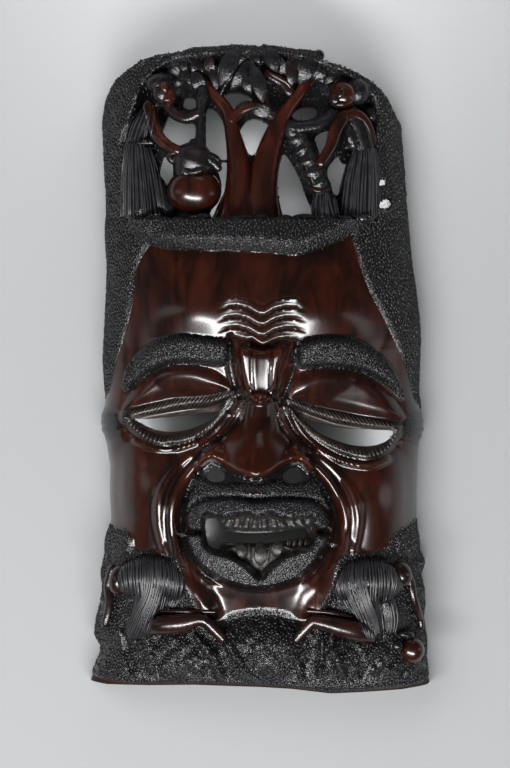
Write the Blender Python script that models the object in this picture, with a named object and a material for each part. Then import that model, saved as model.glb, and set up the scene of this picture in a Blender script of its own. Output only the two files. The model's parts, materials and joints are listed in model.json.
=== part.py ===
"""A large carved hardwood mask: an old man's face under a pierced crown, where two women in grass skirts work
beside a tree, over a base where two more women kneel.

It is cut from one block, a half log hollowed behind, and it lies on the flat rim of its back. X runs across the
face, Y up it and Z out of it, and the origin is under the middle of the block. The carver's drawing gives every
place on the block in drawn millimetres, x from the middle line and y from the foot, and the sizes below scale it.
"""

import math

import bmesh
import bpy
import numpy as np
from mathutils import Matrix, Vector

# Driving sizes, in metres
MASK_HEIGHT = 0.660
MASK_WIDTH = 0.352
MASK_DEPTH = 0.146
SIDE_WALL = 0.022
FRONT_WALL = 0.026
FOOT_WALL = 0.030
ARCH_WALL = 0.022

# How finely the block is cut before its surface is evened out
COLUMNS = 150
ROW_PITCH = 2.6
FUSE_STEP = 0.0030
TRIANGLES = 6700
TABLE_POINTS = 89

# How far the uncut block and the cutters reach below the back and over the front, in drawn millimetres
SAWN_OFF = 8.0
CUT_BELOW = 20.0
CUT_ABOVE = 220.0

# Where the log's front turns into its sides, as a share of its half width
SHOULDER = 0.8

# The ledge where the face ends and the crown starts, how far the crown's block reaches under it, and the
# height over it that the crown's points are drawn for
LEDGE = 482.0
CROWN_LAP = 8.0
CROWN_RISE = 178.0

# How far the crown's scene is sunk behind its frame, and how far its figures stand back with it
SCENE_SINK = 14.0
FIGURE_SINK = 8.0

# The half log: edges left and right of the middle line, and crest height, at heights y
EDGE_Y = [0, 8, 20, 35, 45, 57, 75, 90, 105, 120, 132, 145, 160, 175, 200, 230, 255, 268, 280, 292,
          305, 340, 360, 380, 420, 440, 470, 500, 520, 550, 580, 600, 660]
EDGE_LEFT = [172, 176, 172, 165, 163, 170, 168, 164, 162, 162, 160, 159, 157, 153, 154, 154, 158, 162,
             163, 160, 158, 160, 159, 158, 156, 156, 158, 156, 157, 159, 160, 158, 156]
EDGE_RIGHT = [168, 176, 173, 171, 172, 171, 168, 170, 169, 165, 168, 163, 162, 161, 161, 162, 164, 168,
              167, 165, 162, 163, 164, 163, 158, 155, 152, 149, 148, 145, 142, 139, 137]
CREST_Y = [0, 60, 150, 350, 440, 482, 560, 660]
CREST = [90, 97, 101, 101, 94, 88, 82, 72]
ROUNDNESS = 0.75
EDGE_CALM = 0.75

# The foot's edge and the arch over the crown, as heights at places across
FOOT_X = [-176, -160, -140, -100, -60, 0, 30, 70, 100, 140, 165, 176]
FOOT_EDGE = [17, 11, 8, 8, 9, 7, 5, 0, 1, 3, 7, 13]
ARCH_X = [-159, -156, -150, -142, -130, -120, -105, -80, -70, -50, -25, 0, 12, 20, 40, 50, 62, 66, 80, 100,
          118, 123, 134, 139, 142]
ARCH_EDGE = [596, 610, 622, 630, 640, 646, 650, 653, 657, 658, 660, 658, 659, 658, 655, 655, 653, 645, 640,
             634, 625, 618, 605, 594, 580]

# How far the nose's tip stands over the crest, with the muzzle under it
NOSE_TIP = 43.0
UNDER_NOSE = 2.0

# The drawing's own extent
DRAWN_WIDTH = 2 * max(EDGE_LEFT + EDGE_RIGHT)
DRAWN_HEIGHT = max(ARCH_EDGE)
DRAWN_DEPTH = max(CREST) + NOSE_TIP + UNDER_NOSE
TABLE_X = np.linspace(-DRAWN_WIDTH / 2, DRAWN_WIDTH / 2, TABLE_POINTS)

POLISHED = (0.045, 0.012, 0.008, 1.0)


def scale():
    return Vector((MASK_WIDTH / DRAWN_WIDTH, MASK_HEIGHT / DRAWN_HEIGHT, MASK_DEPTH / DRAWN_DEPTH))


# Curves and distances of the drawing


def smooth_line(points, steps=5, closed=False):
    """A smooth curve through drawn points of any dimension."""
    p = np.array(points, float)
    n = len(p)
    spans = n if closed else n - 1
    out = []
    for i in range(spans):
        if closed:
            a, b, c, d = (p[(i + k) % n] for k in (-1, 0, 1, 2))
        else:
            a, b, c, d = p[max(i - 1, 0)], p[i], p[i + 1], p[min(i + 2, n - 1)]
        for t in np.arange(steps) / steps:
            out.append(0.5 * (2 * b + (c - a) * t + (2 * a - 5 * b + 4 * c - d) * t**2
                              + (3 * b - a - 3 * c + d) * t**3))
    if not closed:
        out.append(p[-1])
    return np.array(out)


def along(x, y, line):
    """The distance of each place from a line, and how far along it the nearest point lies, from 0 to 1."""
    best = np.full(x.shape, 1e9)
    share = np.zeros(x.shape)
    for i, (a, b) in enumerate(zip(line[:-1], line[1:])):
        dx, dy = b - a
        t = np.clip(((x - a[0]) * dx + (y - a[1]) * dy) / max(dx * dx + dy * dy, 1e-9), 0, 1)
        d = np.hypot(x - a[0] - t * dx, y - a[1] - t * dy)
        nearer = d < best
        best = np.where(nearer, d, best)
        share = np.where(nearer, (i + t) / (len(line) - 1), share)
    return best, share


def depth_inside(x, y, outline):
    """How far inside a closed outline each place lies, and below 0 outside it."""
    ring = np.vstack([outline, outline[:1]])
    inside = np.zeros(x.shape, bool)
    for a, b in zip(ring[:-1], ring[1:]):
        if a[1] == b[1]:
            continue
        crosses = (a[1] > y) != (b[1] > y)
        inside ^= crosses & (x < (b[0] - a[0]) * (y - a[1]) / (b[1] - a[1]) + a[0])
    distance, _ = along(x, y, ring)
    return np.where(inside, distance, -distance)


# Cuts that a carver makes in the face: each gives a height to add at every place


def near(x, y, box, margin):
    """The places within a margin of a box round some points."""
    low, high = box.min(0) - margin, box.max(0) + margin
    return (x > low[0]) & (x < high[0]) & (y > low[1]) & (y < high[1])


def stroke(x, y, points, width, height):
    """A ridge of this height along a line, or a groove where the height is below 0. Both may taper."""
    line = smooth_line(points)
    out = np.zeros(x.shape)
    width, height = np.atleast_1d(width), np.atleast_1d(height)
    here = near(x, y, line, width.max())
    d, share = along(x[here], y[here], line)
    w = np.interp(share, np.linspace(0, 1, len(width)), width)
    h = np.interp(share, np.linspace(0, 1, len(height)), height)
    out[here] = h * np.clip(1 - (d / w) ** 2, 0, None) ** 2
    return out


def pad(x, y, outline, height, edge, steps=4):
    """A raised field with a rounded edge, or a sunk one where the height is below 0."""
    ring = smooth_line(outline, steps, closed=True)
    out = np.zeros(x.shape)
    here = near(x, y, ring, 1.0)
    inside = np.clip(depth_inside(x[here], y[here], ring) / edge, 0, 1)
    out[here] = height * np.sin(inside * math.pi / 2)
    return out


def dome(x, y, middle, radii, height, turn=0.0, fullness=2.0):
    """A soft swelling, or a hollow where the height is below 0."""
    c, s = math.cos(math.radians(turn)), math.sin(math.radians(turn))
    u = ((x - middle[0]) * c + (y - middle[1]) * s) / radii[0]
    v = (-(x - middle[0]) * s + (y - middle[1]) * c) / radii[1]
    return height * np.clip(1 - u * u - v * v, 0, None) ** fullness


# Outlines of the face, in drawn millimetres

SIDE_HAIR = {
    "left": [(-185, 500), (-112, 500), (-110, 464), (-120, 447), (-127, 430), (-130, 400), (-137, 370),
             (-149, 332), (-158, 303), (-185, 300)],
    "right": [(185, 500), (96, 500), (94, 466), (98, 450), (104, 430), (114, 406), (125, 386), (135, 365),
              (145, 343), (153, 322), (161, 296), (185, 296)],
}
HAIR_BAND = [(-135, 520), (-138, 490), (-126, 466), (-108, 457), (-90, 453), (-55, 451), (-15, 450), (15, 448),
             (36, 446), (52, 450), (70, 457), (88, 465), (106, 476), (112, 495), (110, 520)]
BROWS = {
    "left": [(-31, 357), (-45, 361), (-60, 363), (-78, 365), (-95, 362), (-110, 356), (-123, 346), (-134, 332),
             (-140, 314), (-136, 309), (-124, 318), (-111, 327), (-98, 333), (-80, 336), (-60, 335), (-42, 334),
             (-31, 337)],
    "right": [(37, 353), (48, 360), (62, 363), (80, 363), (98, 359), (113, 351), (126, 340), (137, 326),
              (144, 310), (147, 299), (139, 305), (130, 314), (116, 322), (102, 328), (85, 331), (62, 332),
              (39, 332)],
}
UPPER_LASH = {
    "left": [(-24, 308), (-42, 301), (-60, 297), (-82, 295), (-102, 291), (-120, 287), (-138, 282)],
    "right": [(26, 299), (42, 292), (60, 286), (78, 281), (98, 277), (118, 274), (140, 271)],
}
LOWER_LASH = {
    "left": [(-30, 298), (-38, 286), (-50, 273), (-64, 264), (-80, 259), (-98, 257), (-114, 261), (-127, 270),
             (-138, 281)],
    "right": [(30, 290), (40, 277), (54, 265), (70, 255), (86, 248), (103, 244), (118, 245), (130, 252),
              (140, 266)],
}
LIDS = {
    "left": [(-28, 309), (-40, 325), (-60, 333), (-82, 335), (-102, 331), (-122, 318), (-138, 300), (-142, 286),
             (-120, 290), (-100, 294), (-80, 298), (-60, 300), (-42, 304)],
    "right": [(28, 301), (36, 322), (58, 331), (82, 331), (104, 326), (124, 314), (140, 298), (150, 280),
              (138, 275), (118, 277), (98, 281), (78, 285), (58, 290), (42, 296)],
}
NOSE = [(-12, 306), (-22, 284), (-34, 266), (-50, 253), (-63, 243), (-66, 229), (-59, 229), (-50, 236),
        (-40, 232), (-28, 225), (-15, 220), (-3, 218), (10, 221), (22, 229), (33, 234), (42, 232), (51, 222),
        (56, 226), (54, 238), (44, 249), (32, 260), (22, 280), (13, 304)]
TAB = [(-31, 362), (-27, 342), (-21, 320), (-14, 303), (1, 293), (15, 303), (24, 320), (33, 343), (40, 358),
       (20, 352), (3, 349), (-16, 353)]
MOUSTACHE = [(-66, 222), (-52, 217), (-36, 213), (-20, 215), (0, 213), (18, 217), (30, 213), (45, 216), (57, 220),
             (66, 205), (71, 188), (62, 195), (45, 199), (20, 200), (-3, 199), (-25, 200), (-50, 200), (-65, 195),
             (-76, 184), (-75, 202)]
UPPER_LIP = [(-75, 184), (-66, 194), (-50, 199), (-25, 200), (-3, 197), (20, 199), (45, 198), (58, 194),
             (69, 184), (70, 171), (62, 167), (54, 172), (52, 181), (38, 179), (22, 180), (10, 184), (-3, 181),
             (-15, 184), (-30, 181), (-45, 180), (-56, 183), (-58, 168), (-70, 166), (-75, 174)]
LOWER_LIP = [(-74, 163), (-73, 150), (-67, 138), (-56, 127), (-40, 117), (-20, 110), (0, 108), (20, 111),
             (40, 119), (54, 131), (64, 145), (70, 161), (58, 163), (52, 152), (40, 147), (27, 142), (16, 134),
             (8, 126), (0, 119), (-9, 127), (-18, 135), (-30, 141), (-44, 145), (-55, 151), (-59, 163)]
MOUTH = [(-57, 181), (-30, 180), (-15, 183), (-3, 180), (10, 183), (22, 179), (52, 180), (54, 153), (40, 148),
         (27, 143), (12, 131), (0, 121), (-9, 129), (-30, 142), (-46, 146), (-56, 152)]

SCENE = [(-112, -4), (-128, 8), (-134, 33), (-136, 68), (-134, 98), (-126, 124), (-114, 146), (-96, 160),
         (-70, 166), (-30, 170), (30, 168), (66, 158), (90, 148), (110, 134), (120, 114), (118, 78), (116, 38),
         (108, 8), (96, -2), (0, -8)]

# Openings cut right through the wood

FACE_OPENINGS = {
    "left_eye": [(-128, 279), (-112, 280), (-92, 282), (-70, 285), (-50, 289), (-40, 294), (-44, 284), (-56, 275),
                 (-72, 269), (-90, 266), (-106, 268), (-118, 273)],
    "right_eye": [(37, 290), (52, 283), (70, 276), (90, 271), (110, 269), (135, 267), (134, 260), (124, 254),
                  (108, 251), (92, 253), (76, 259), (60, 267), (46, 279)],
    "left_nostril": [(-54, 221), (-46, 231), (-37, 225), (-37, 217), (-48, 215)],
    "right_nostril": [(23, 221), (30, 229), (39, 228), (43, 220), (38, 214), (28, 215)],
    "mouth": [(-54, 177), (-42, 177), (-37, 168), (-18, 164), (4, 164), (24, 166), (46, 168), (46, 160), (26, 156),
              (4, 153), (-22, 153), (-38, 153), (-42, 147), (-52, 150), (-55, 163)],
}
CROWN_OPENINGS = {
    "by_the_pestle": [(-99, 87), (-96, 100), (-90, 110), (-84, 104), (-78, 99), (-67, 98), (-66, 84), (-70, 76),
                      (-80, 74), (-88, 77)],
    "over_the_hand": [(-78, 116), (-76, 125), (-67, 124), (-65, 116), (-71, 113)],
    "pestle_to_trunk": [(-54, 112), (-45, 111), (-38, 100), (-35, 83), (-32, 66), (-36, 61), (-45, 64),
                        (-53, 69), (-55, 83)],
    "jar_to_trunk": [(-44, 56), (-36, 59), (-31, 54), (-35, 32), (-40, 13), (-47, -1), (-52, 5), (-43, 20),
                     (-39, 36)],
    "behind_the_jar": [(-97, 65), (-90, 68), (-89, 56), (-89, 44), (-94, 35), (-102, 47), (-100, 58)],
    "crotch": [(-20, 91), (-8, 103), (8, 98), (7, 86), (1, 74), (-8, 66), (-14, 72)],
    "small_fork": [(-37, 126), (-32, 118), (-27, 111), (-10, 120), (-10, 126), (-22, 130), (-34, 129)],
    "trunk_to_drum": [(24, 67), (32, 58), (41, 40), (48, 21), (55, 0), (40, -2), (26, 0), (20, 18),
                      (18, 36), (20, 54)],
    "over_the_drum": [(33, 107), (42, 115), (57, 114), (57, 106), (48, 102), (38, 102)],
    "under_the_arm": [(56, 83), (62, 89), (71, 91), (73, 81), (68, 68), (63, 63), (59, 73)],
    "behind_the_drum": [(80, 65), (84, 58), (93, 56), (90, 42), (84, 32), (77, 25), (71, 38), (69, 51),
                        (75, 61)],
    "frame_window": [(121, 37), (127, 37), (127, 42), (121, 42)],
    "frame_notch": [(121, 14), (128, 22), (133, 21), (133, 14)],
    "left_sliver": [(-139, 23), (-137, 33), (-134, 31), (-135, 24)],
}


# The half log


def edges_at(y):
    return np.interp(y, EDGE_Y, EDGE_LEFT), np.interp(y, EDGE_Y, EDGE_RIGHT)


def log_height(x, y):
    """The height of the plain half log at a place, in drawn millimetres."""
    left, right = edges_at(y)
    across = np.clip(np.abs(x) / np.where(x < 0, left, right), 0, 1)
    return np.interp(y, CREST_Y, CREST) * (1 - across**2) ** (ROUNDNESS / 2)


def on_ledge(points):
    """Points drawn by their height over the ledge, at their drawn heights."""
    stretch = (DRAWN_HEIGHT - LEDGE) / CROWN_RISE
    return [(p[0], LEDGE + p[1] * stretch, *p[2:]) for p in points]


# Relief of the face, part by part


def forehead(x, y):
    z = dome(x, y, (-6, 392), (138, 112), 15, fullness=1.0)
    z += dome(x, y, (-60, 374), (62, 34), 9) + dome(x, y, (62, 372), (62, 34), 9)
    return z + pad(x, y, HAIR_BAND, 17, 15)


def side_hair(x, y):
    return pad(x, y, SIDE_HAIR["left"], 5, 5) + pad(x, y, SIDE_HAIR["right"], 5, 5)


def furrows(x, y):
    """Four pairs of winged furrows over the nose, in a raised field."""
    z = dome(x, y, (2, 379), (60, 36), 5, fullness=1.0)
    for y0 in (396, 386, 375, 364):
        z += stroke(x, y, [(-40, y0), (-30, y0 + 4), (-21, y0 + 4), (-11, y0), (-2, y0 - 6)], (2.5, 4.5, 4), -6)
        z += stroke(x, y, [(4, y0 - 7), (14, y0), (25, y0 + 3), (36, y0 + 2), (45, y0 - 1)], (3.5, 4.5, 2.5), -6)
    return z


def brow_tab(x, y):
    """The tab between the brows, with its U-shaped groove."""
    z = pad(x, y, TAB, 11, 9)
    z += stroke(x, y, [(-8, 346), (-8, 325), (-7, 309), (1, 299), (9, 307), (10, 325), (11, 344)], 3.4, -6)
    z += stroke(x, y, [(-30, 362), (-31, 340), (-27, 318), (-20, 301)], (5, 6, 4), -6)
    return z + stroke(x, y, [(38, 354), (36, 336), (30, 317), (23, 300)], (5, 6, 4), -6)


def eyes(x, y):
    z = dome(x, y, (-84, 292), (80, 52), -15, 6) + dome(x, y, (88, 284), (82, 54), -15, -8)
    for side in ("left", "right"):
        z += pad(x, y, LIDS[side], 10, 16)
        z += pad(x, y, BROWS[side], 12, 7)
        z += stroke(x, y, UPPER_LASH[side], (3, 8, 7), (3, 7, 6))
        z += stroke(x, y, LOWER_LASH[side], (4, 7, 7), (3, 7, 6))
    z += stroke(x, y, [(-128, 257), (-111, 250), (-94, 248), (-77, 251), (-60, 258), (-45, 270), (-33, 285)], 4, 4)
    z += stroke(x, y, [(27, 292), (35, 275), (48, 259), (63, 247), (80, 238), (97, 233), (113, 232), (130, 238)],
                5, 5)
    return z


def nose(x, y):
    """A broad nose: the bridge widens to a full tip between two round wings, cut off square below."""
    rise = np.clip((306 - y) / 70, 0, 1)
    width = 17 + 20 * rise
    middle = 1 - 5 * rise
    bridge = (10 + 30 * rise**1.2) * np.clip(1 - ((x - middle) / width) ** 2, 0, None) ** 0.8
    wings = dome(x, y, (-48, 238), (19, 17), 27, fullness=0.7) + dome(x, y, (38, 237), (19, 17), 27, fullness=0.7)
    tip = dome(x, y, (-5, 238), (34, 30), NOSE_TIP, fullness=0.5)
    body = np.maximum(np.maximum(bridge, wings), tip)
    ring = smooth_line(NOSE, 4, closed=True)
    z = body * np.sin(np.clip(depth_inside(x, y, ring) / 5, 0, 1) * math.pi / 2)
    z += stroke(x, y, [(-17, 299), (-27, 282), (-38, 267), (-50, 257), (-60, 251)], 4, 5)
    z += stroke(x, y, [(16, 297), (22, 277), (30, 264), (39, 254), (50, 247)], 4, 5)
    z += stroke(x, y, [(-26, 302), (-36, 285), (-48, 271), (-62, 259)], 5, -5)
    return z + stroke(x, y, [(24, 296), (31, 277), (40, 264), (54, 250)], 5, -5)


def cheeks(x, y):
    z = dome(x, y, (-116, 205), (42, 58), 15, 0, 1.2) + dome(x, y, (121, 200), (42, 58), 15, 0, 1.2)
    z += stroke(x, y, [(-64, 234), (-78, 217), (-87, 197), (-90, 176), (-88, 155), (-84, 136), (-77, 116),
                       (-66, 98), (-54, 84)], (6, 8, 7), (8, 10, 8))
    z += stroke(x, y, [(56, 232), (71, 216), (82, 197), (87, 177), (86, 157), (81, 137), (75, 119), (67, 101),
                       (57, 86)], (6, 8, 7), (8, 10, 8))
    z += stroke(x, y, [(-70, 242), (-88, 226), (-100, 205), (-103, 180), (-100, 158), (-96, 143)],
                (4, 7, 4), (3, 7, 4))
    z += stroke(x, y, [(62, 240), (80, 223), (94, 203), (99, 182), (98, 163), (95, 146)], (4, 7, 4), (3, 7, 4))
    for y0 in (284, 276, 268):
        z += stroke(x, y, [(-172, y0 - 2), (-156, y0), (-140, y0 + 1)], 4, (4, 5, 2))
        z += stroke(x, y, [(176, y0 - 9), (162, y0 - 7), (144, y0 - 5)], 4, (4, 5, 2))
    return z


def mouth(x, y):
    z = dome(x, y, (-3, 165), (84, 72), 17, fullness=1.0)
    z += stroke(x, y, [(-62, 226), (-72, 207), (-79, 188), (-80, 168), (-76, 146), (-67, 124), (-52, 105)], 5, -7)
    z += stroke(x, y, [(54, 223), (65, 207), (74, 189), (77, 170), (74, 149), (66, 128), (54, 110)], 5, -7)
    z += pad(x, y, MOUSTACHE, 5, 4)
    z += pad(x, y, UPPER_LIP, 11, 6)
    z += pad(x, y, LOWER_LIP, 12, 6)
    z += pad(x, y, MOUTH, -20, 5)
    for i in range(7):
        x0 = -35 + 12.5 * i
        z += pad(x, y, [(x0 - 6, 182), (x0 + 6, 182), (x0 + 4, 170), (x0, 166), (x0 - 4, 170)], 15, 4)
    for i in range(5):
        x0 = -20 + 13.5 * i
        foot = 131 + 0.42 * abs(x0 - 1)
        top = 155 + (4 if x0 > 20 else 0)
        z += pad(x, y, [(x0 - 6, top), (x0 + 6, top), (x0 + 3, foot), (x0 - 3, foot)], 14, 4)
    z += stroke(x, y, [(-76, 160), (-71, 138), (-58, 121), (-40, 111), (-20, 105), (0, 103), (22, 106), (44, 115),
                       (60, 128), (71, 146)], 4, -5)
    return z + dome(x, y, (1, 96), (62, 34), 13, fullness=1.2)


def ground(x, y):
    """The rough ground of the base, in mounds."""
    z = dome(x, y, (2, 48), (50, 36), 13, fullness=1.0) + dome(x, y, (-78, 40), (46, 32), 9)
    z += dome(x, y, (74, 36), (34, 32), 9) + dome(x, y, (120, 36), (34, 30), 8)
    z += dome(x, y, (-145, 153), (17, 15), 9, fullness=0.8) + dome(x, y, (153, 152), (15, 17), 9, fullness=0.8)
    z += stroke(x, y, [(-60, 64), (-50, 50), (-42, 36), (-36, 22)], (6, 8, 7), 9)
    z += stroke(x, y, [(-34, 54), (-28, 44), (-22, 34)], 6, 6)
    z += stroke(x, y, [(62, 66), (64, 50), (62, 34), (60, 22)], (5, 6, 5), 7)
    for i in range(14):
        x0 = -165 + 25 * i
        z += dome(x, y, (x0, 18 + 9 * (i % 3)), (17, 14), 4)
    return z


def face_relief(x, y):
    z = forehead(x, y) + side_hair(x, y) + furrows(x, y) + brow_tab(x, y) + eyes(x, y)
    return z + nose(x, y) + cheeks(x, y) + mouth(x, y) + ground(x, y)


def frame_relief(x, y):
    """The crown's frame, swelling here and there round the sunk ground of its scene."""
    z = 5 - pad(x, y, on_ledge(SCENE), SCENE_SINK + 5, 12)
    for i in range(9):
        turn = math.radians(170 - 20 * i)
        z += dome(x, y, (-8 + 138 * math.cos(turn), 575 + 66 * math.sin(turn)), (26, 26), 5)
    for i in range(4):
        z += dome(x, y, (-146, 500 + 25 * i), (14, 18), 4) + dome(x, y, (136, 500 + 25 * i), (14, 18), 4)
    return z


# Solids


def mesh_of(name, verts, faces):
    """A closed mesh in metres from points in drawn millimetres, with its faces turned outwards."""
    across, up, out = scale()
    mesh = bpy.data.meshes.new(name)
    mesh.from_pydata([(v[0] * across, (v[1] - DRAWN_HEIGHT / 2) * up, v[2] * out) for v in verts], [], faces)
    bm = bmesh.new()
    bm.from_mesh(mesh)
    bmesh.ops.remove_doubles(bm, verts=bm.verts, dist=1e-6)
    bmesh.ops.recalc_face_normals(bm, faces=bm.faces)
    bm.to_mesh(mesh)
    bm.free()
    return mesh


def grid_faces(rows, columns, first=0, flip=False):
    faces = []
    for r in range(rows - 1):
        for c in range(columns - 1):
            a = first + r * columns + c
            quad = (a, a + 1, a + columns + 1, a + columns)
            faces.append(quad[::-1] if flip else quad)
    return faces


def block(name, bottom, top, relief):
    """A slice of the half log from one drawn edge to another, carved in front, and left thick behind."""
    turn = np.linspace(-math.pi / 2, math.pi / 2, COLUMNS)
    rows = round((top.max() - bottom.min()) / ROW_PITCH)
    share = np.linspace(0, 1, rows)[:, None]
    across = np.broadcast_to(np.sin(turn), (rows, COLUMNS))
    middle_left, middle_right = edges_at(np.array(0.5 * (bottom.mean() + top.mean())))
    plain_x = np.sin(turn) * np.where(turn < 0, middle_left, middle_right)
    low = np.interp(plain_x, TABLE_X, bottom)
    high = np.interp(plain_x, TABLE_X, top)
    y = low + share * (high - low)
    left, right = edges_at(y)
    x = across * np.where(across < 0, left, right)
    z = log_height(x, y)
    lift = relief(x, y)
    lean = np.clip((np.abs(across) - SHOULDER) / (1 - SHOULDER), 0, 1)
    lean = lean * lean * (3 - 2 * lean) * math.pi / 2
    lift = lift * (1 - EDGE_CALM * np.sin(lean))
    front = np.stack([x + lift * np.sin(lean) * np.sign(x), y, z + lift * np.cos(lean)], -1)
    back = front.copy()
    back[..., 2] = -SAWN_OFF
    verts = np.concatenate([front.reshape(-1, 3), back.reshape(-1, 3)])
    half = rows * COLUMNS
    faces = grid_faces(rows, COLUMNS) + grid_faces(rows, COLUMNS, half, flip=True)
    for edge in (0, (rows - 1) * COLUMNS):
        faces += [(edge + c, edge + c + 1, half + edge + c + 1, half + edge + c) for c in range(COLUMNS - 1)]
    for edge in (0, COLUMNS - 1):
        side = [edge + r * COLUMNS for r in range(rows)]
        faces += [(a, b, half + b, half + a) for a, b in zip(side[:-1], side[1:])]
    return mesh_of(name, verts, faces)


def edge_table(xs, heights):
    """An edge's heights at even steps across the block."""
    return np.interp(TABLE_X, xs, heights)


def on_log(x, y, lift):
    """A point over the plain log."""
    return Vector((x, y, float(log_height(np.array(float(x)), np.array(float(y)))) + lift))


def in_crown(x, height, lift):
    """A point over the log and over the ledge, sunk back with the crown's scene."""
    (_, y), = on_ledge([(x, height)])
    return on_log(x, y, lift - FIGURE_SINK)


def limb(place, points, sides=12, steps=4):
    """A round limb through (x, y, lift, radius): lift is how far its middle stands over the log."""
    line = smooth_line(points, steps)
    verts, faces = [], []
    spine = np.array([place(*p[:3]) for p in line])
    for i, (p, radius) in enumerate(zip(spine, line[:, 3])):
        way = Vector(spine[min(i + 1, len(spine) - 1)] - spine[max(i - 1, 0)]).normalized()
        out = (Vector((0, 0, 1)) - way * way.z).normalized()
        side = way.cross(out)
        for k in range(sides):
            turn = 2 * math.pi * k / sides
            verts.append(Vector(p) + (side * math.cos(turn) + out * math.sin(turn)) * radius)
    rings = len(line)
    for r in range(rings - 1):
        for k in range(sides):
            a, b = r * sides + k, r * sides + (k + 1) % sides
            faces.append((a, b, b + sides, a + sides))
    for ring, step in ((0, -1), (rings - 1, 1)):
        way = Vector(spine[ring] - spine[ring - step]).normalized()
        tip = len(verts)
        verts.append(Vector(spine[ring]) + way * line[ring, 3] * 0.7)
        for k in range(sides):
            faces.append((ring * sides + k, ring * sides + (k + 1) % sides, tip))
    return mesh_of("limb", verts, faces)


def ball(place, x, y, lift, radii, turn=0.0):
    """An egg of wood over the log, turned in the face's plane."""
    middle = place(x, y, lift)
    bm = bmesh.new()
    bmesh.ops.create_uvsphere(bm, u_segments=16, v_segments=10, radius=1.0)
    seat = Matrix.Translation(middle) @ Matrix.Rotation(math.radians(turn), 4, "Z") @ Matrix.Diagonal((*radii, 1))
    bmesh.ops.transform(bm, matrix=seat, verts=bm.verts)
    verts = [v.co.copy() for v in bm.verts]
    faces = [[v.index for v in f.verts] for f in bm.faces]
    bm.free()
    return mesh_of("ball", verts, faces)


def leaf(place, x, y, lift, length, width, turn):
    """A thick pointed leaf, folded along its midrib."""
    middle = place(x, y, lift)
    verts, faces = [], []
    stations, sides = 9, 8
    for i in range(stations):
        t = i / (stations - 1)
        half = width / 2 * max(math.sin(math.pi * t) ** 0.8, 0.06)
        for k in range(sides):
            a = 2 * math.pi * k / sides
            fold = 1.5 * math.cos(a) ** 2
            verts.append(Vector(((t - 0.5) * length, half * math.cos(a), 0.5 * half * math.sin(a) + fold)))
    for i in range(stations - 1):
        for k in range(sides):
            a, b = i * sides + k, i * sides + (k + 1) % sides
            faces.append((a, b, b + sides, a + sides))
    faces += [tuple(range(sides)), tuple((stations - 1) * sides + k for k in range(sides))]
    seat = Matrix.Translation(middle) @ Matrix.Rotation(math.radians(turn), 4, "Z")
    return mesh_of("leaf", [seat @ v for v in verts], faces)


def tree():
    c = in_crown
    return [
        limb(c, [(-11, -10, -14, 34), (-10, 4, -10, 30), (-9, 18, -8, 27), (-7, 38, -7, 25), (-5, 54, -8, 22)],
             16),
        limb(c, [(-16, 46, 0, 13), (-20, 63, 2, 12), (-26, 80, 4, 9), (-30, 98, 5, 7), (-34, 112, 5, 6.5),
                 (-46, 127, 3, 6), (-60, 142, 2, 6), (-68, 152, 0, 5)]),
        limb(c, [(-29, 100, 5, 6), (-24, 110, 5, 5), (-12, 116, 5, 4.5), (-4, 122, 4, 4.5), (-3, 134, 3, 5)]),
        limb(c, [(3, 46, 0, 14), (8, 63, 2, 13), (13, 80, 4, 11), (20, 98, 5, 9), (30, 115, 6, 6.5),
                 (42, 131, 5, 6), (50, 150, 3, 6)]),
        limb(c, [(20, 98, 4, 7), (14, 112, 3, 6), (9, 124, 2, 7), (6, 140, 0, 8)]),
        limb(c, [(30, 130, 4, 6), (22, 140, 3, 6), (8, 148, 2, 6)]),
        leaf(c, 4, 110, 4, 32, 15, -18),
        leaf(c, -61, 160, 6, 34, 24, 75), leaf(c, -48, 162, 4, 30, 12, 100), leaf(c, -33, 158, 9, 44, 20, 55),
        leaf(c, -17, 152, 7, 34, 14, 35), leaf(c, -4, 140, 9, 40, 20, 105), leaf(c, 12, 160, 8, 36, 18, 115),
        leaf(c, 24, 152, 5, 34, 16, 130), leaf(c, 37, 154, 5, 40, 16, 75), leaf(c, 50, 161, 8, 34, 17, 68),
        ball(c, 60, 166, 4, (6, 7, 6)), ball(c, -24, 170, 3, (9, 6, 7)), ball(c, 10, 170, 4, (8, 6, 7)),
    ]


def woman_with_jar():
    """A woman standing at the left, one hand on a jar and the other on the pestle in it."""
    c = in_crown
    return [
        ball(c, -99, 131, 14, (13, 17, 13)), ball(c, -103, 142, 12, (15, 12, 14), 20),
        ball(c, -93, 125, 16, (8, 9, 9)),
        limb(c, [(-104, 122, 8, 6), (-112, 112, 6, 10), (-119, 96, 5, 12), (-126, 80, 5, 13)]),
        limb(c, [(-126, 81, 5, 12), (-124, 65, 3, 16), (-121, 38, 0, 20), (-117, 10, -4, 23)], 16),
        limb(c, [(-105, 38, 2, 8), (-100, 23, 2, 9), (-92, 10, 0, 9)]),
        limb(c, [(-113, 116, 15, 7), (-109, 99, 18, 6.5), (-103, 84, 20, 6.5), (-93, 75, 20, 5.5),
                 (-83, 70, 20, 5.5)]),
        limb(c, [(-95, 118, 8, 6), (-86, 107, 8, 5.5), (-74, 103, 10, 5.5), (-63, 108, 12, 5.5)]),
        limb(c, [(-57, 134, 10, 5), (-59, 118, 12, 5), (-61, 94, 13, 4.5), (-62, 68, 13, 5)]),
        ball(c, -66, 74, 12, (6, 9, 6), 20),
    ]


def jar():
    c = in_crown
    return [
        ball(c, -68, 30, 6, (28, 25, 25)),
        limb(c, [(-72, 46, 8, 19), (-69, 61, 9, 19)], 16),
        ball(c, -67, 63, 9, (26, 6, 20), -10),
        ball(c, -62, 4, -6, (20, 10, 16)),
    ]


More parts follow.
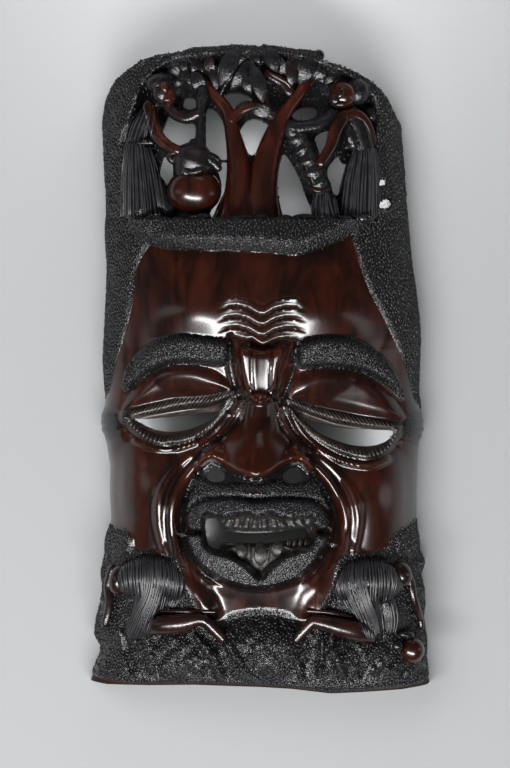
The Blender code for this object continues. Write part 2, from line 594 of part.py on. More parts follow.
def woman_with_drum():
    """A woman standing at the right, both arms round the drum."""
    c = in_crown
    return [
        ball(c, 84, 127, 14, (14, 14, 13)), ball(c, 99, 131, 10, (13, 15, 13)), ball(c, 78, 122, 16, (8, 8, 8)),
        limb(c, [(92, 116, 8, 6), (96, 104, 7, 11), (101, 88, 6, 12), (106, 71, 5, 12)]),
        limb(c, [(84, 103, 13, 7), (97, 104, 11, 7), (107, 95, 9, 6), (112, 83, 7, 5)]),
        limb(c, [(84, 103, 14, 7), (76, 88, 17, 6.5), (72, 74, 18, 6), (62, 57, 18, 5.5)]),
        limb(c, [(76, 108, 8, 7), (60, 97, 10, 7), (45, 94, 11, 7), (33, 93, 11, 8)]),
        limb(c, [(106, 71, 4, 13), (104, 50, 2, 18), (101, 26, -2, 21), (99, 6, -6, 23)], 16),
    ]


def drum():
    c = in_crown
    return [
        limb(c, [(38, 84, 5, 12), (44, 71, 6, 13), (52, 54, 7, 12), (59, 36, 7, 11)], 16),
        limb(c, [(59, 38, 6, 9), (63, 26, 6, 11), (66, 12, 5, 14), (67, 2, 4, 15)], 16),
        ball(c, 33, 90, 8, (9, 12, 10), 20),
    ]


def kneeling(side):
    """A woman bent double on the base: skirt, the leg that shows, shoulder, arm and head."""
    on = on_log
    flip = 1 if side == "right" else -1
    if side == "left":
        leg = [(-110, 70, 8, 8), (-98, 71, 12, 8), (-78, 74, 12, 7.5), (-60, 77, 11, 7), (-50, 70, 8, 6),
               (-38, 60, 5, 5)]
        head = []
    else:
        leg = [(116, 58, 6, 7), (98, 66, 10, 7.5), (78, 71, 12, 7.5), (56, 76, 11, 7), (46, 70, 8, 6.5),
               (38, 57, 5, 6)]
        head = [ball(on, 150, 46, 10, (17, 17, 15)), ball(on, 148, 60, 8, (18, 9, 13), 8)]
    return [
        limb(on, [(flip * 88, 112, 2, 18), (flip * 102, 117, 5, 22), (flip * 118, 117, 5, 22),
                  (flip * 132, 114, 2, 20)], 16),
        limb(on, [(flip * 106, 110, 6, 20), (flip * 112, 90, 6, 21), (flip * 118, 68, 1, 19)], 16),
        limb(on, [(flip * 130, 118, 6, 15), (flip * 143, 121, 6, 12), (flip * 152, 114, 5, 8)]),
        limb(on, [(flip * 150, 118, 8, 6), (flip * 155, 103, 8, 5), (flip * 157, 86, 8, 5), (flip * 160, 68, 6, 5)]),
        limb(on, leg),
        *head,
    ]


def prism(outline):
    """A cutter that passes straight through the block."""
    ring = smooth_line(outline, 2, closed=True)
    n = len(ring)
    verts = [(px, py, -CUT_BELOW) for px, py in ring] + [(px, py, CUT_ABOVE) for px, py in ring]
    faces = [tuple(range(n)), tuple(range(n, 2 * n))]
    faces += [(i, (i + 1) % n, n + (i + 1) % n, n + i) for i in range(n)]
    return mesh_of("prism", verts, faces)


def saw():
    """The cutter that leaves the back flat."""
    low, high = -CUT_ABOVE, DRAWN_HEIGHT + CUT_ABOVE
    corners = [(x, y, z) for z in (-CUT_BELOW, 0.0) for x, y in
               ((-DRAWN_WIDTH, low), (DRAWN_WIDTH, low), (DRAWN_WIDTH, high), (-DRAWN_WIDTH, high))]
    sides = [(i, (i + 1) % 4, (i + 1) % 4 + 4, i + 4) for i in range(4)]
    return mesh_of("saw", corners, [(0, 1, 2, 3), (4, 5, 6, 7), *sides])


def hollow():
    """The cutter of the hollow back, a long dish inside the block's walls, open behind."""
    across, up, out = scale()
    rows, columns = 21, 17
    turn = np.linspace(-math.pi / 2, math.pi / 2, columns)
    low, high = FOOT_WALL / up, DRAWN_HEIGHT - ARCH_WALL / up
    verts = []
    for r in range(rows):
        v = math.sin(math.pi * (r / (rows - 1) - 0.5))
        y = low + (high - low) * (v + 1) / 2
        inset = max(1 - abs(v) ** 7, 0.0) ** (1 / 2.2)
        left, right = edges_at(np.array(y))
        wide = np.where(turn < 0, left, right) - SIDE_WALL / across
        tall = max(np.interp(y, CREST_Y, CREST) - FRONT_WALL / out, 5.0)
        ring = [(wide[c] * max(inset, 0.4) * math.sin(t), y, tall * max(inset, 0.3) * math.cos(t) ** ROUNDNESS)
                for c, t in enumerate(turn)]
        ring[0], ring[-1] = (ring[0][0], y, -CUT_BELOW), (ring[-1][0], y, -CUT_BELOW)
        verts += ring
    faces = grid_faces(rows, columns)
    faces += [tuple(range(columns)), tuple((rows - 1) * columns + c for c in range(columns))]
    faces += [(r * columns, (r + 1) * columns, (r + 2) * columns - 1, (r + 1) * columns - 1) for r in range(rows - 1)]
    return mesh_of("hollow", verts, faces)


# Assembly


def joined(name, meshes):
    bm = bmesh.new()
    for mesh in meshes:
        bm.from_mesh(mesh)
    whole = bpy.data.meshes.new(name)
    bm.to_mesh(whole)
    bm.free()
    obj = bpy.data.objects.new(name, whole)
    bpy.context.scene.collection.objects.link(obj)
    return obj


def cutter(name, meshes):
    obj = joined(name, meshes)
    obj.hide_render = True
    obj.display_type = "WIRE"
    return obj


def cut(obj, tool):
    modifier = obj.modifiers.new(tool.name, "BOOLEAN")
    modifier.operation = "DIFFERENCE"
    modifier.solver = "EXACT"
    modifier.object = tool


def wood():
    material = bpy.data.materials.new("polished_hardwood")
    material.use_nodes = True
    shader = material.node_tree.nodes["Principled BSDF"]
    shader.inputs["Base Color"].default_value = POLISHED
    shader.inputs["Roughness"].default_value = 0.28
    shader.inputs["Metallic"].default_value = 0.0
    return material


def triangles(obj):
    """How many triangles the object has as it is evaluated now."""
    evaluated = obj.evaluated_get(bpy.context.evaluated_depsgraph_get())
    return sum(len(p.vertices) - 2 for p in evaluated.data.polygons)


def main():
    for obj in list(bpy.data.objects):
        bpy.data.objects.remove(obj)
    foot = edge_table(FOOT_X, FOOT_EDGE)
    arch = edge_table(ARCH_X, ARCH_EDGE)
    face = block("face", foot, np.full(TABLE_POINTS, LEDGE), face_relief)
    crown = block("crown", np.full(TABLE_POINTS, LEDGE - CROWN_LAP), arch, frame_relief)
    carved = [face, crown, *tree(), *woman_with_jar(), *jar(), *woman_with_drum(), *drum()]
    carved += kneeling("left") + kneeling("right")
    mask = joined("mask", carved)
    mask.data.materials.append(wood())
    fuse = mask.modifiers.new("fuse", "REMESH")
    fuse.mode = "VOXEL"
    fuse.voxel_size = FUSE_STEP
    thin = mask.modifiers.new("even", "DECIMATE")
    thin.ratio = 1.0
    thin.ratio = min(1.0, TRIANGLES / triangles(mask))
    cut(mask, cutter("flat_back", [saw()]))
    cut(mask, cutter("hollow_back", [hollow()]))
    openings = [*FACE_OPENINGS.values(), *(on_ledge(outline) for outline in CROWN_OPENINGS.values())]
    cut(mask, cutter("openings", [prism(outline) for outline in openings]))


main()
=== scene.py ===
"""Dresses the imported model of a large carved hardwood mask: polished dark rosewood, blackened and stippled
where the carver cut hair, skirts, ground and the frame of the pierced crown.

It is laid out as an add-on. A place on the block is given as on the carver's drawing, in drawn millimetres, x
from the middle line and y from the foot, and a height over the crown's ledge for the crown's own scene.
"""

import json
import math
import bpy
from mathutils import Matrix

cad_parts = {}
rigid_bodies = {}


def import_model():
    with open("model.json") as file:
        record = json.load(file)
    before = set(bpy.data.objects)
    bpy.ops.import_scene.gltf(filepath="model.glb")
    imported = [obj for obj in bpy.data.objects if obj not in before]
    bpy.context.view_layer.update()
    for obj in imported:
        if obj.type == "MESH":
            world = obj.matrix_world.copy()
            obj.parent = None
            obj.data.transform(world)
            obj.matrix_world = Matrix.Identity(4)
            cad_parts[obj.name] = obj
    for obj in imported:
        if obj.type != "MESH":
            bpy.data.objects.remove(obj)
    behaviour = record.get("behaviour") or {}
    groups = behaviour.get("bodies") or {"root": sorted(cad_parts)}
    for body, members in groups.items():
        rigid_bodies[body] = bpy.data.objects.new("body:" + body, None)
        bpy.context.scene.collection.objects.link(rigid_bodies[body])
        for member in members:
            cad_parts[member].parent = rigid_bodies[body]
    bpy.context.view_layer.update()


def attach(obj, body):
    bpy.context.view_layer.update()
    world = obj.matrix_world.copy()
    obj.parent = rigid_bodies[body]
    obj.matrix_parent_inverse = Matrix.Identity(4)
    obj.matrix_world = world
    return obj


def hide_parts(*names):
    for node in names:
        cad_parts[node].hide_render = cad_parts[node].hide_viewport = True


bl_info = {
    "name": "Carved hardwood mask",
    "version": (1, 0, 0),
    "blender": (4, 5, 0),
    "location": "View3D > Sidebar > Carved mask",
    "description": "Builds the carving, stipple, skirts, lashes and teeth of a carved hardwood mask",
    "category": "Object",
}

import bmesh
import bpy
import numpy as np
from bpy.props import FloatProperty, FloatVectorProperty, PointerProperty
from mathutils import Matrix, Vector
from mathutils.bvhtree import BVHTree

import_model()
MM = 0.001

# The ledge where the face ends and the crown starts, how far the crown's block reaches under it, and the
# height over it that the crown's points are drawn for
LEDGE = 482.0
CROWN_LAP = 8.0
CROWN_RISE = 178.0

# How far the crown's scene is sunk behind its frame, and how far its figures stand back with it
SCENE_SINK = 14.0
FIGURE_SINK = 8.0

# The half log: edges left and right of the middle line, and crest height, at heights y
EDGE_Y = [0, 8, 20, 35, 45, 57, 75, 90, 105, 120, 132, 145, 160, 175, 200, 230, 255, 268, 280, 292,
          305, 340, 360, 380, 420, 440, 470, 500, 520, 550, 580, 600, 660]
EDGE_LEFT = [172, 176, 172, 165, 163, 170, 168, 164, 162, 162, 160, 159, 157, 153, 154, 154, 158, 162,
             163, 160, 158, 160, 159, 158, 156, 156, 158, 156, 157, 159, 160, 158, 156]
EDGE_RIGHT = [168, 176, 173, 171, 172, 171, 168, 170, 169, 165, 168, 163, 162, 161, 161, 162, 164, 168,
              167, 165, 162, 163, 164, 163, 158, 155, 152, 149, 148, 145, 142, 139, 137]
CREST_Y = [0, 60, 150, 350, 440, 482, 560, 660]
CREST = [90, 97, 101, 101, 94, 88, 82, 72]
ROUNDNESS = 0.75
EDGE_CALM = 0.75

# The foot's edge and the arch over the crown, as heights at places across
FOOT_X = [-176, -160, -140, -100, -60, 0, 30, 70, 100, 140, 165, 176]
FOOT_EDGE = [17, 11, 8, 8, 9, 7, 5, 0, 1, 3, 7, 13]
ARCH_X = [-159, -156, -150, -142, -130, -120, -105, -80, -70, -50, -25, 0, 12, 20, 40, 50, 62, 66, 80, 100,
          118, 123, 134, 139, 142]
ARCH_EDGE = [596, 610, 622, 630, 640, 646, 650, 653, 657, 658, 660, 658, 659, 658, 655, 655, 653, 645, 640,
             634, 625, 618, 605, 594, 580]

# The places across at which both of these edges are read
TABLE_X = np.linspace(-176, 176, 89)

# How far the nose's tip stands over the crest, with the muzzle under it
NOSE_TIP = 43.0
UNDER_NOSE = 2.0

# Where the arch of the crown starts to close in, over its scene
ARCH_SPRING = 640.0

# From one furrow over the nose up to the next
FURROW_PITCH = 10.6

# The drawing's own extent
DRAWN_WIDTH = 2 * max(EDGE_LEFT + EDGE_RIGHT)
DRAWN_HEIGHT = max(ARCH_EDGE)
DRAWN_DEPTH = max(CREST) + NOSE_TIP + UNDER_NOSE

# How finely the visible block is cut along its surface, in front and down its sides
FINE_PITCH = 1.5
SIDE_PITCH = 3.0

# How far under and over the block its cutters reach
CUT_LOW = -20.0
CUT_HIGH = 220.0


def linear(code):
    """A colour as Blender works with it, from its sRGB hex value."""
    parts = [int(code[i:i + 2], 16) / 255 for i in (1, 3, 5)]
    return tuple(c / 12.92 if c <= 0.04045 else ((c + 0.055) / 1.055) ** 2.4 for c in parts)


def size(name, metres, words):
    """A length of the mask that a user can set."""
    return FloatProperty(name=name, default=metres, unit="LENGTH", description=words)


def colour(name, code, words):
    """A colour of the mask that a user can set."""
    return FloatVectorProperty(name=name, default=linear(code), subtype="COLOR", min=0, max=1,
                               description=words)


class MaskSizes(bpy.types.PropertyGroup):
    """The sizes that a user would change."""

    width: size("Width", 0.352, "Across the foot of the block")
    height: size("Height", 0.660, "From the foot to the top of the crown")
    depth: size("Depth", 0.146, "From the back rim to the tip of the nose")
    side_wall: size("Side wall", 0.022, "Wood left beside the hollow")
    front_wall: size("Front wall", 0.026, "Wood left over the hollow")
    foot_wall: size("Foot wall", 0.030, "Wood left below the hollow")
    arch_wall: size("Arch wall", 0.022, "Wood left above the hollow")
    pellet: size("Pellet", 0.0031, "From one pellet of the stipple to the next")
    lash: size("Lash", 0.0042, "From one cut lash to the next")
    strand: size("Strand", 0.0026, "From one strand of a skirt to the next")


class MaskColours(bpy.types.PropertyGroup):
    """The colours that a user would change."""

    heartwood: colour("Heartwood", "#2f0e05", "Polished wood between its darker streaks")
    streak: colour("Streak", "#0e0402", "Darker streaks of the polished wood")
    rubbed: colour("Rubbed", "#5c2812", "Polished wood where it is rubbed thin of stain")
    # The stain's black is also painted into the hollows of the polished wood as shade
    stain: colour("Stain", "#09090a", "Black stain of the stippled wood")
    bloom: colour("Bloom", "#19171b", "Grey bloom on the stained wood")
    dust: colour("Dust", "#45433c", "Old polish and dust in the deep cuts")
    raw: colour("Raw wood", "#1f130d", "Unfinished wood of the hollow back")


def sizes():
    """The sizes that the user has set."""
    return bpy.context.scene.mask_sizes


def colours():
    """The colours that the user has set."""
    return bpy.context.scene.mask_colours


def scale():
    """Metres for each drawn millimetre across, up and out."""
    s = sizes()
    return Vector((s.width / DRAWN_WIDTH, s.height / DRAWN_HEIGHT, s.depth / DRAWN_DEPTH))


# Curves and distances of the drawing


def smooth_line(points, steps=5, closed=False):
    """A smooth curve through drawn points of any dimension."""
    p = np.array(points, float)
    n = len(p)
    spans = n if closed else n - 1
    out = []
    for i in range(spans):
        if closed:
            a, b, c, d = (p[(i + k) % n] for k in (-1, 0, 1, 2))
        else:
            a, b, c, d = p[max(i - 1, 0)], p[i], p[i + 1], p[min(i + 2, n - 1)]
        for t in np.arange(steps) / steps:
            out.append(0.5 * (2 * b + (c - a) * t + (2 * a - 5 * b + 4 * c - d) * t**2
                              + (3 * b - a - 3 * c + d) * t**3))
    if not closed:
        out.append(p[-1])
    return np.array(out)


def along(x, y, line):
    """The distance of each place from a line, and how far along it the nearest point lies, from 0 to 1."""
    best = np.full(x.shape, 1e9)
    share = np.zeros(x.shape)
    for i, (a, b) in enumerate(zip(line[:-1], line[1:])):
        dx, dy = b - a
        t = np.clip(((x - a[0]) * dx + (y - a[1]) * dy) / max(dx * dx + dy * dy, 1e-9), 0, 1)
        d = np.hypot(x - a[0] - t * dx, y - a[1] - t * dy)
        nearer = d < best
        best = np.where(nearer, d, best)
        share = np.where(nearer, (i + t) / (len(line) - 1), share)
    return best, share


def depth_inside(x, y, outline):
    """How far inside a closed outline each place lies, and below 0 outside it."""
    ring = np.vstack([outline, outline[:1]])
    inside = np.zeros(x.shape, bool)
    for a, b in zip(ring[:-1], ring[1:]):
        if a[1] == b[1]:
            continue
        crosses = (a[1] > y) != (b[1] > y)
        inside ^= crosses & (x < (b[0] - a[0]) * (y - a[1]) / (b[1] - a[1]) + a[0])
    distance, _ = along(x, y, ring)
    return np.where(inside, distance, -distance)


# Cuts that a carver makes in the face: each gives a height to add at every place


def near(x, y, box, margin):
    """The places within a margin of a box round some points."""
    low, high = box.min(0) - margin, box.max(0) + margin
    return (x > low[0]) & (x < high[0]) & (y > low[1]) & (y < high[1])


def stroke(x, y, points, width, height):
    """A ridge of this height along a line, or a groove where the height is below 0. Both may taper."""
    line = smooth_line(points)
    out = np.zeros(x.shape)
    width, height = np.atleast_1d(width), np.atleast_1d(height)
    here = near(x, y, line, width.max())
    d, share = along(x[here], y[here], line)
    w = np.interp(share, np.linspace(0, 1, len(width)), width)
    h = np.interp(share, np.linspace(0, 1, len(height)), height)
    out[here] = h * np.clip(1 - (d / w) ** 2, 0, None) ** 2
    return out


def strokes(z, x, y, rows):
    """Adds several strokes to a relief, each given by its points, width and height."""
    for row in rows:
        z += stroke(x, y, *row)
    return z


def pad(x, y, outline, height, edge):
    """A raised field with a rounded edge, or a sunk one where the height is below 0."""
    ring = smooth_line(outline, 4, closed=True)
    out = np.zeros(x.shape)
    here = near(x, y, ring, 1.0)
    inside = np.clip(depth_inside(x[here], y[here], ring) / edge, 0, 1)
    out[here] = height * np.sin(inside * math.pi / 2)
    return out


def dome(x, y, middle, radii, height, turn=0.0, fullness=2.0):
    """A soft swelling, or a hollow where the height is below 0."""
    c, s = math.cos(math.radians(turn)), math.sin(math.radians(turn))
    u = ((x - middle[0]) * c + (y - middle[1]) * s) / radii[0]
    v = (-(x - middle[0]) * s + (y - middle[1]) * c) / radii[1]
    return height * np.clip(1 - u * u - v * v, 0, None) ** fullness


# Outlines of the face, in drawn millimetres

SIDE_HAIR = {
    "left": [(-185, 500), (-112, 500), (-110, 464), (-120, 447), (-127, 430), (-130, 400), (-137, 370),
             (-149, 332), (-158, 303), (-185, 300)],
    "right": [(185, 500), (96, 500), (94, 466), (98, 450), (104, 430), (114, 406), (125, 386), (135, 365),
              (145, 343), (153, 322), (161, 296), (185, 296)],
}
HAIR_BAND = [(-135, 520), (-138, 490), (-126, 466), (-108, 457), (-90, 453), (-55, 451), (-15, 450),
             (15, 448), (36, 446), (52, 450), (70, 457), (88, 465), (106, 476), (112, 495), (110, 520)]
BROWS = {
    "left": [(-31, 357), (-45, 361), (-60, 363), (-78, 365), (-95, 362), (-110, 356), (-123, 346),
             (-134, 332), (-140, 314), (-136, 309), (-124, 318), (-111, 327), (-98, 333), (-80, 336),
             (-60, 335), (-42, 334), (-31, 337)],
    "right": [(37, 353), (48, 360), (62, 363), (80, 363), (98, 359), (113, 351), (126, 340), (137, 326),
              (144, 310), (147, 299), (139, 305), (130, 314), (116, 322), (102, 328), (85, 331), (62, 332),
              (39, 332)],
}
UPPER_LASH = {
    "left": [(-24, 308), (-42, 301), (-60, 297), (-82, 295), (-102, 291), (-120, 287), (-138, 282)],
    "right": [(26, 299), (42, 292), (60, 286), (78, 281), (98, 277), (118, 274), (140, 271)],
}
LOWER_LASH = {
    "left": [(-30, 298), (-38, 286), (-50, 273), (-64, 264), (-80, 259), (-98, 257), (-114, 261), (-127, 270),
             (-138, 281)],
    "right": [(30, 290), (40, 277), (54, 265), (70, 255), (86, 248), (103, 244), (118, 245), (130, 252),
              (140, 266)],
}
LIDS = {
    "left": [(-28, 309), (-40, 325), (-60, 333), (-82, 335), (-102, 331), (-122, 318), (-138, 300),
             (-142, 286), (-120, 290), (-100, 294), (-80, 298), (-60, 300), (-42, 304)],
    "right": [(28, 301), (36, 322), (58, 331), (82, 331), (104, 326), (124, 314), (140, 298), (150, 280),
              (138, 275), (118, 277), (98, 281), (78, 285), (58, 290), (42, 296)],
}
NOSE = [(-12, 306), (-22, 284), (-34, 266), (-50, 253), (-63, 243), (-66, 229), (-59, 229), (-50, 236),
        (-40, 232), (-28, 225), (-15, 220), (-3, 218), (10, 221), (22, 229), (33, 234), (42, 232), (51, 222),
        (56, 226), (54, 238), (44, 249), (32, 260), (22, 280), (13, 304)]
TAB = [(-31, 362), (-27, 342), (-21, 320), (-14, 303), (1, 293), (15, 303), (24, 320), (33, 343), (40, 358),
       (20, 352), (3, 349), (-16, 353)]
MOUSTACHE = [(-66, 222), (-52, 217), (-36, 213), (-20, 215), (0, 213), (18, 217), (30, 213), (45, 216),
             (57, 220), (66, 205), (71, 188), (62, 195), (45, 199), (20, 200), (-3, 199), (-25, 200),
             (-50, 200), (-65, 195), (-76, 184), (-75, 202)]
UPPER_LIP = [(-75, 184), (-66, 194), (-50, 199), (-25, 200), (-3, 197), (20, 199), (45, 198), (58, 194),
             (69, 184), (70, 171), (62, 167), (54, 172), (52, 181), (38, 179), (22, 180), (10, 184),
             (-3, 181), (-15, 184), (-30, 181), (-45, 180), (-56, 183), (-58, 168), (-70, 166), (-75, 174)]
LOWER_LIP = [(-74, 163), (-73, 150), (-67, 138), (-56, 127), (-40, 117), (-20, 110), (0, 108), (20, 111),
             (40, 119), (54, 131), (64, 145), (70, 161), (58, 163), (52, 152), (40, 147), (27, 142),
             (16, 134), (8, 126), (0, 119), (-9, 127), (-18, 135), (-30, 141), (-44, 145), (-55, 151),
             (-59, 163)]
# The polished edge of the lower lip
LIP_RIM = [(-71, 152), (-65, 140), (-54, 129), (-39, 119.5), (-20, 112.5), (0, 110.5), (20, 113.5),
           (38, 121.5), (52, 133), (62, 147)]
MOUTH = [(-57, 181), (-30, 180), (-15, 183), (-3, 180), (10, 183), (22, 179), (52, 180), (54, 153), (40, 148),
         (27, 143), (12, 131), (0, 121), (-9, 129), (-30, 142), (-46, 146), (-56, 152)]
GUMS = {
    "upper": [(-43, 184), (-30, 182), (0, 184), (30, 182), (52, 182), (51, 169), (30, 167), (4, 166),
              (-18, 166), (-38, 169)],
    "lower": [(-40, 148), (-28, 151), (4, 152), (28, 153), (50, 158), (50, 150), (36, 147), (24, 142),
              (13, 133), (1, 122), (-9, 131), (-22, 140), (-36, 145)],
}

# The edge of the crown's scene, by heights over the ledge
SCENE = [(-112, -4), (-128, 8), (-134, 33), (-136, 68), (-134, 98), (-126, 124), (-114, 146), (-96, 160),
         (-70, 166), (-30, 170), (30, 168), (66, 158), (90, 148), (110, 134), (120, 114), (118, 78),
         (116, 38), (108, 8), (96, -2), (0, -8)]

# Openings cut right through the wood, the crown's by heights over the ledge
FACE_OPENINGS = {
    "left_eye": [(-128, 279), (-112, 279.5), (-84, 282), (-62, 285), (-50, 286), (-41, 286.5), (-46, 281),
                 (-56, 275), (-72, 269), (-90, 266), (-106, 268), (-118, 273)],
    "right_eye": [(44, 281), (54, 277), (66, 274), (84, 270), (110, 268.5), (135, 267), (134, 260),
                  (124, 254), (108, 251), (92, 253), (76, 258), (62, 264), (50, 273)],
    "left_nostril": [(-54, 221), (-46, 231), (-37, 225), (-37, 217), (-48, 215)],
    "right_nostril": [(23, 221), (30, 229), (39, 228), (43, 220), (38, 214), (28, 215)],
    "mouth": [(-54, 177), (-42, 177), (-37, 168), (-18, 164), (4, 164), (24, 166), (46, 168), (46, 160),
              (26, 156), (4, 153), (-22, 153), (-38, 153), (-42, 147), (-52, 150), (-55, 163)],
}
CROWN_OPENINGS = {
    "by_the_pestle": [(-99, 87), (-96, 100), (-90, 110), (-84, 104), (-78, 99), (-67, 98), (-66, 84),
                      (-70, 76), (-80, 74), (-88, 77)],
    "over_the_hand": [(-78, 116), (-76, 125), (-67, 124), (-65, 116), (-71, 113)],
    "pestle_to_trunk": [(-54, 112), (-45, 111), (-38, 100), (-35, 83), (-32, 66), (-36, 61), (-45, 64),
                        (-53, 69), (-55, 83)],
    "jar_to_trunk": [(-44, 56), (-36, 59), (-31, 54), (-35, 32), (-40, 13), (-47, -1), (-52, 5), (-43, 20),
                     (-39, 36)],
    "behind_the_jar": [(-97, 65), (-90, 68), (-89, 56), (-89, 44), (-94, 35), (-102, 47), (-100, 58)],
    "crotch": [(-20, 91), (-8, 103), (8, 98), (7, 86), (1, 74), (-8, 66), (-14, 72)],
    "small_fork": [(-37, 126), (-32, 118), (-27, 111), (-10, 120), (-10, 126), (-22, 130), (-34, 129)],
    "trunk_to_drum": [(24, 67), (32, 58), (41, 40), (48, 21), (55, 0), (40, -2), (26, 0), (20, 18), (18, 36),
                      (20, 54)],
    "over_the_drum": [(33, 107), (42, 115), (57, 114), (57, 106), (48, 102), (38, 102)],
    "under_the_arm": [(56, 83), (62, 89), (71, 91), (73, 81), (68, 68), (63, 63), (59, 73)],
    "behind_the_drum": [(80, 65), (84, 58), (93, 56), (90, 42), (84, 32), (77, 25), (71, 38), (69, 51),
                        (75, 61)],
    "frame_window": [(120, 36), (128, 36), (128, 43), (120, 43)],
    "frame_notch": [(120, 13), (127, 22), (134, 22), (134, 13)],
    "left_sliver": [(-139, 23), (-137, 33), (-134, 31), (-135, 24)],
}

# The half log


def edges_at(y):
    """How far the half log's left and right edges stand from the middle line."""
    return np.interp(y, EDGE_Y, EDGE_LEFT), np.interp(y, EDGE_Y, EDGE_RIGHT)


def log_height(x, y):
    """The height of the plain half log at a place, in drawn millimetres."""
    left, right = edges_at(y)
    across = np.clip(np.abs(x) / np.where(x < 0, left, right), 0, 1)
    return np.interp(y, CREST_Y, CREST) * (1 - across**2) ** (ROUNDNESS / 2)


def on_ledge(points):
    """Points drawn by their height over the ledge, at their drawn heights."""
    stretch = (DRAWN_HEIGHT - LEDGE) / CROWN_RISE
    return [(p[0], LEDGE + p[1] * stretch, *p[2:]) for p in points]


# Relief of the face, part by part


def forehead(x, y):
    """A full forehead under the band of hair, with a swelling over each brow."""
    z = dome(x, y, (-6, 392), (138, 112), 15, fullness=1.0)
    # The swellings rise evenly, to catch the light, and then level off
    foot, bend, top = 361, 377, 397
    levelled = np.clip((y - bend) / (top - bend), 0, 1)
    rise = np.clip(y - foot, 0, bend - foot) + (top - bend) / 2 * (1 - (1 - levelled) ** 2)
    for x0 in (-62, 60):
        z += dome(x, y, (x0, 378), (62, 84), 0.4, fullness=1.6) * rise
    return z + pad(x, y, HAIR_BAND, 17, 15)


def side_hair(x, y):
    """The hair at each side of the face, standing a little over the skin."""
    return pad(x, y, SIDE_HAIR["left"], 5, 5) + pad(x, y, SIDE_HAIR["right"], 5, 5)


def furrow_rows(x, y):
    """How far up from one furrow to the next a place lies, and how much the furrows reach it, as shares."""
    wing = np.interp(x, [-46, -36, -24, -12, -2, 4, 14, 26, 38, 50], [-3, 2, 4, 1, -5, -6, 0, 3, 2, -2])
    lowest, count = 358, 4
    step = (y - lowest - wing) / FURROW_PITCH
    inside = np.clip((step + 0.3) * 4, 0, 1) * np.clip((count + 0.1 - step) * 4, 0, 1)
    return step % 1, inside * np.clip((46 - np.abs(x - 2)) / 12, 0, 1)


def furrows(x, y):
    """Four pairs of winged furrows over the nose, each ridge between them planed to catch the light."""
    depth, tilt, shoulder = 4, 3.6, 0.84
    share, inside = furrow_rows(x, y)
    groove = y - share * FURROW_PITCH
    risen = log_height(x, y) + forehead(x, y) - log_height(x, groove) - forehead(x, groove)
    out = np.abs(x - 1)
    # The planed part starts lower down towards the furrows' ends
    knee = 0.62 - 0.3 * np.clip((out - 12) / 26, 0, 1)
    planed = tilt * np.clip(share - knee, 0, shoulder - knee) * np.clip((out - 3) / 5, 0, 1)
    ridge = np.interp(share, [0, 0.1, 0.2], [-depth, -1, 0]) + planed - risen
    back = np.clip((share - 0.88) / 0.12, 0, 1)
    return inside * (ridge * (1 - back) - depth * back)


def brow_tab(x, y):
    """The tab between the brows, tilted down to the nose, with a U cut in it."""
    z = pad(x, y, TAB, 7, 9)
    tongue = [(-20, 354), (-19.5, 332), (-17.5, 312), (-11, 298), (1, 293), (12, 297), (17, 310), (19, 330),
              (24, 352), (1, 350)]
    z += pad(x, y, tongue, 1, 3.5) * (2 + 0.13 * (y - 296))
    panel = [(-5, 350), (-5, 326), (-4, 312), (1, 306), (7, 311), (9, 326), (10, 350), (1, 349)]
    z -= pad(x, y, panel, 1, 5) * (0.3 + 0.05 * (y - 302))
    u_cut = [(-8.5, 354), (-8.3, 330), (-7.8, 312), (-5, 303), (1, 299.5), (7, 302.5), (10.3, 312), (11, 330),
             (13, 352)]
    return strokes(z, x, y, [
        (u_cut, 1.8, -4.5),
        ([(-9, 358), (-3, 354), (3, 351), (8, 353), (20, 358)], 4, -5),
        ([(-30, 362), (-31, 340), (-27, 318), (-20, 301)], (5, 6, 4), -6),
        ([(38, 354), (36, 336), (30, 317), (23, 300)], (5, 6, 4), -6)])


def eyes(x, y):
    """Deep sockets, brows, full lids and the ridges that the lashes are cut on."""
    z = dome(x, y, (-84, 292), (80, 52), -15, 6) + dome(x, y, (88, 284), (82, 54), -15, -8)
    for side in ("left", "right"):
        z += pad(x, y, LIDS[side], 10, 16)
        z += pad(x, y, BROWS[side], 12, 7)
        z += stroke(x, y, UPPER_LASH[side], (3, 8, 7), (3, 7, 6))
        z += stroke(x, y, LOWER_LASH[side], (4, 7, 7), (3, 7, 6))
    return strokes(z, x, y, [
        ([(-56, 295), (-40, 299), (-25, 306)], 3, 3),
        ([(-128, 257), (-111, 250), (-94, 248), (-77, 251), (-60, 258), (-45, 270), (-33, 285)], 4, 4),
        ([(27, 292), (35, 275), (48, 259), (63, 247), (80, 238), (97, 233), (113, 232), (130, 238)], 5, 5)])


def nose(x, y):
    """A broad nose: its bridge widens and rises to a full tip between round wings, cut off square below."""
    rise = np.clip((306 - y) / 70, 0, 1)
    width = 16 + 26 * rise**1.8
    middle = 1 - 6 * rise
    bridge = (10 + 23 * rise**1.1) * np.clip(1 - ((x - middle) / width) ** 2, 0, None) ** 0.85
    wings = dome(x, y, (-49, 239), (21, 19), 26, fullness=0.45)
    wings += dome(x, y, (39, 238), (21, 19), 26, fullness=0.45)
    tip = dome(x, y, (-5, 233), (46, 46), 38, fullness=1.0)
    # A high power joins the three with soft seams, each showing where it stands highest
    body = (bridge**5 + wings**5 + tip**5) ** 0.2
    ring = smooth_line(NOSE, 4, closed=True)
    z = body * np.sin(np.clip(depth_inside(x, y, ring) / 6, 0, 1) * math.pi / 2)
    return strokes(z, x, y, [
        ([(-17, 299), (-27, 282), (-38, 267), (-50, 257), (-60, 251)], 3, 4),
        ([(16, 297), (22, 277), (30, 264), (39, 254), (50, 247)], 3, 4),
        ([(-26, 302), (-36, 285), (-48, 271), (-62, 259)], 5, -4),
        ([(24, 296), (31, 277), (40, 264), (54, 250)], 5, -4)])


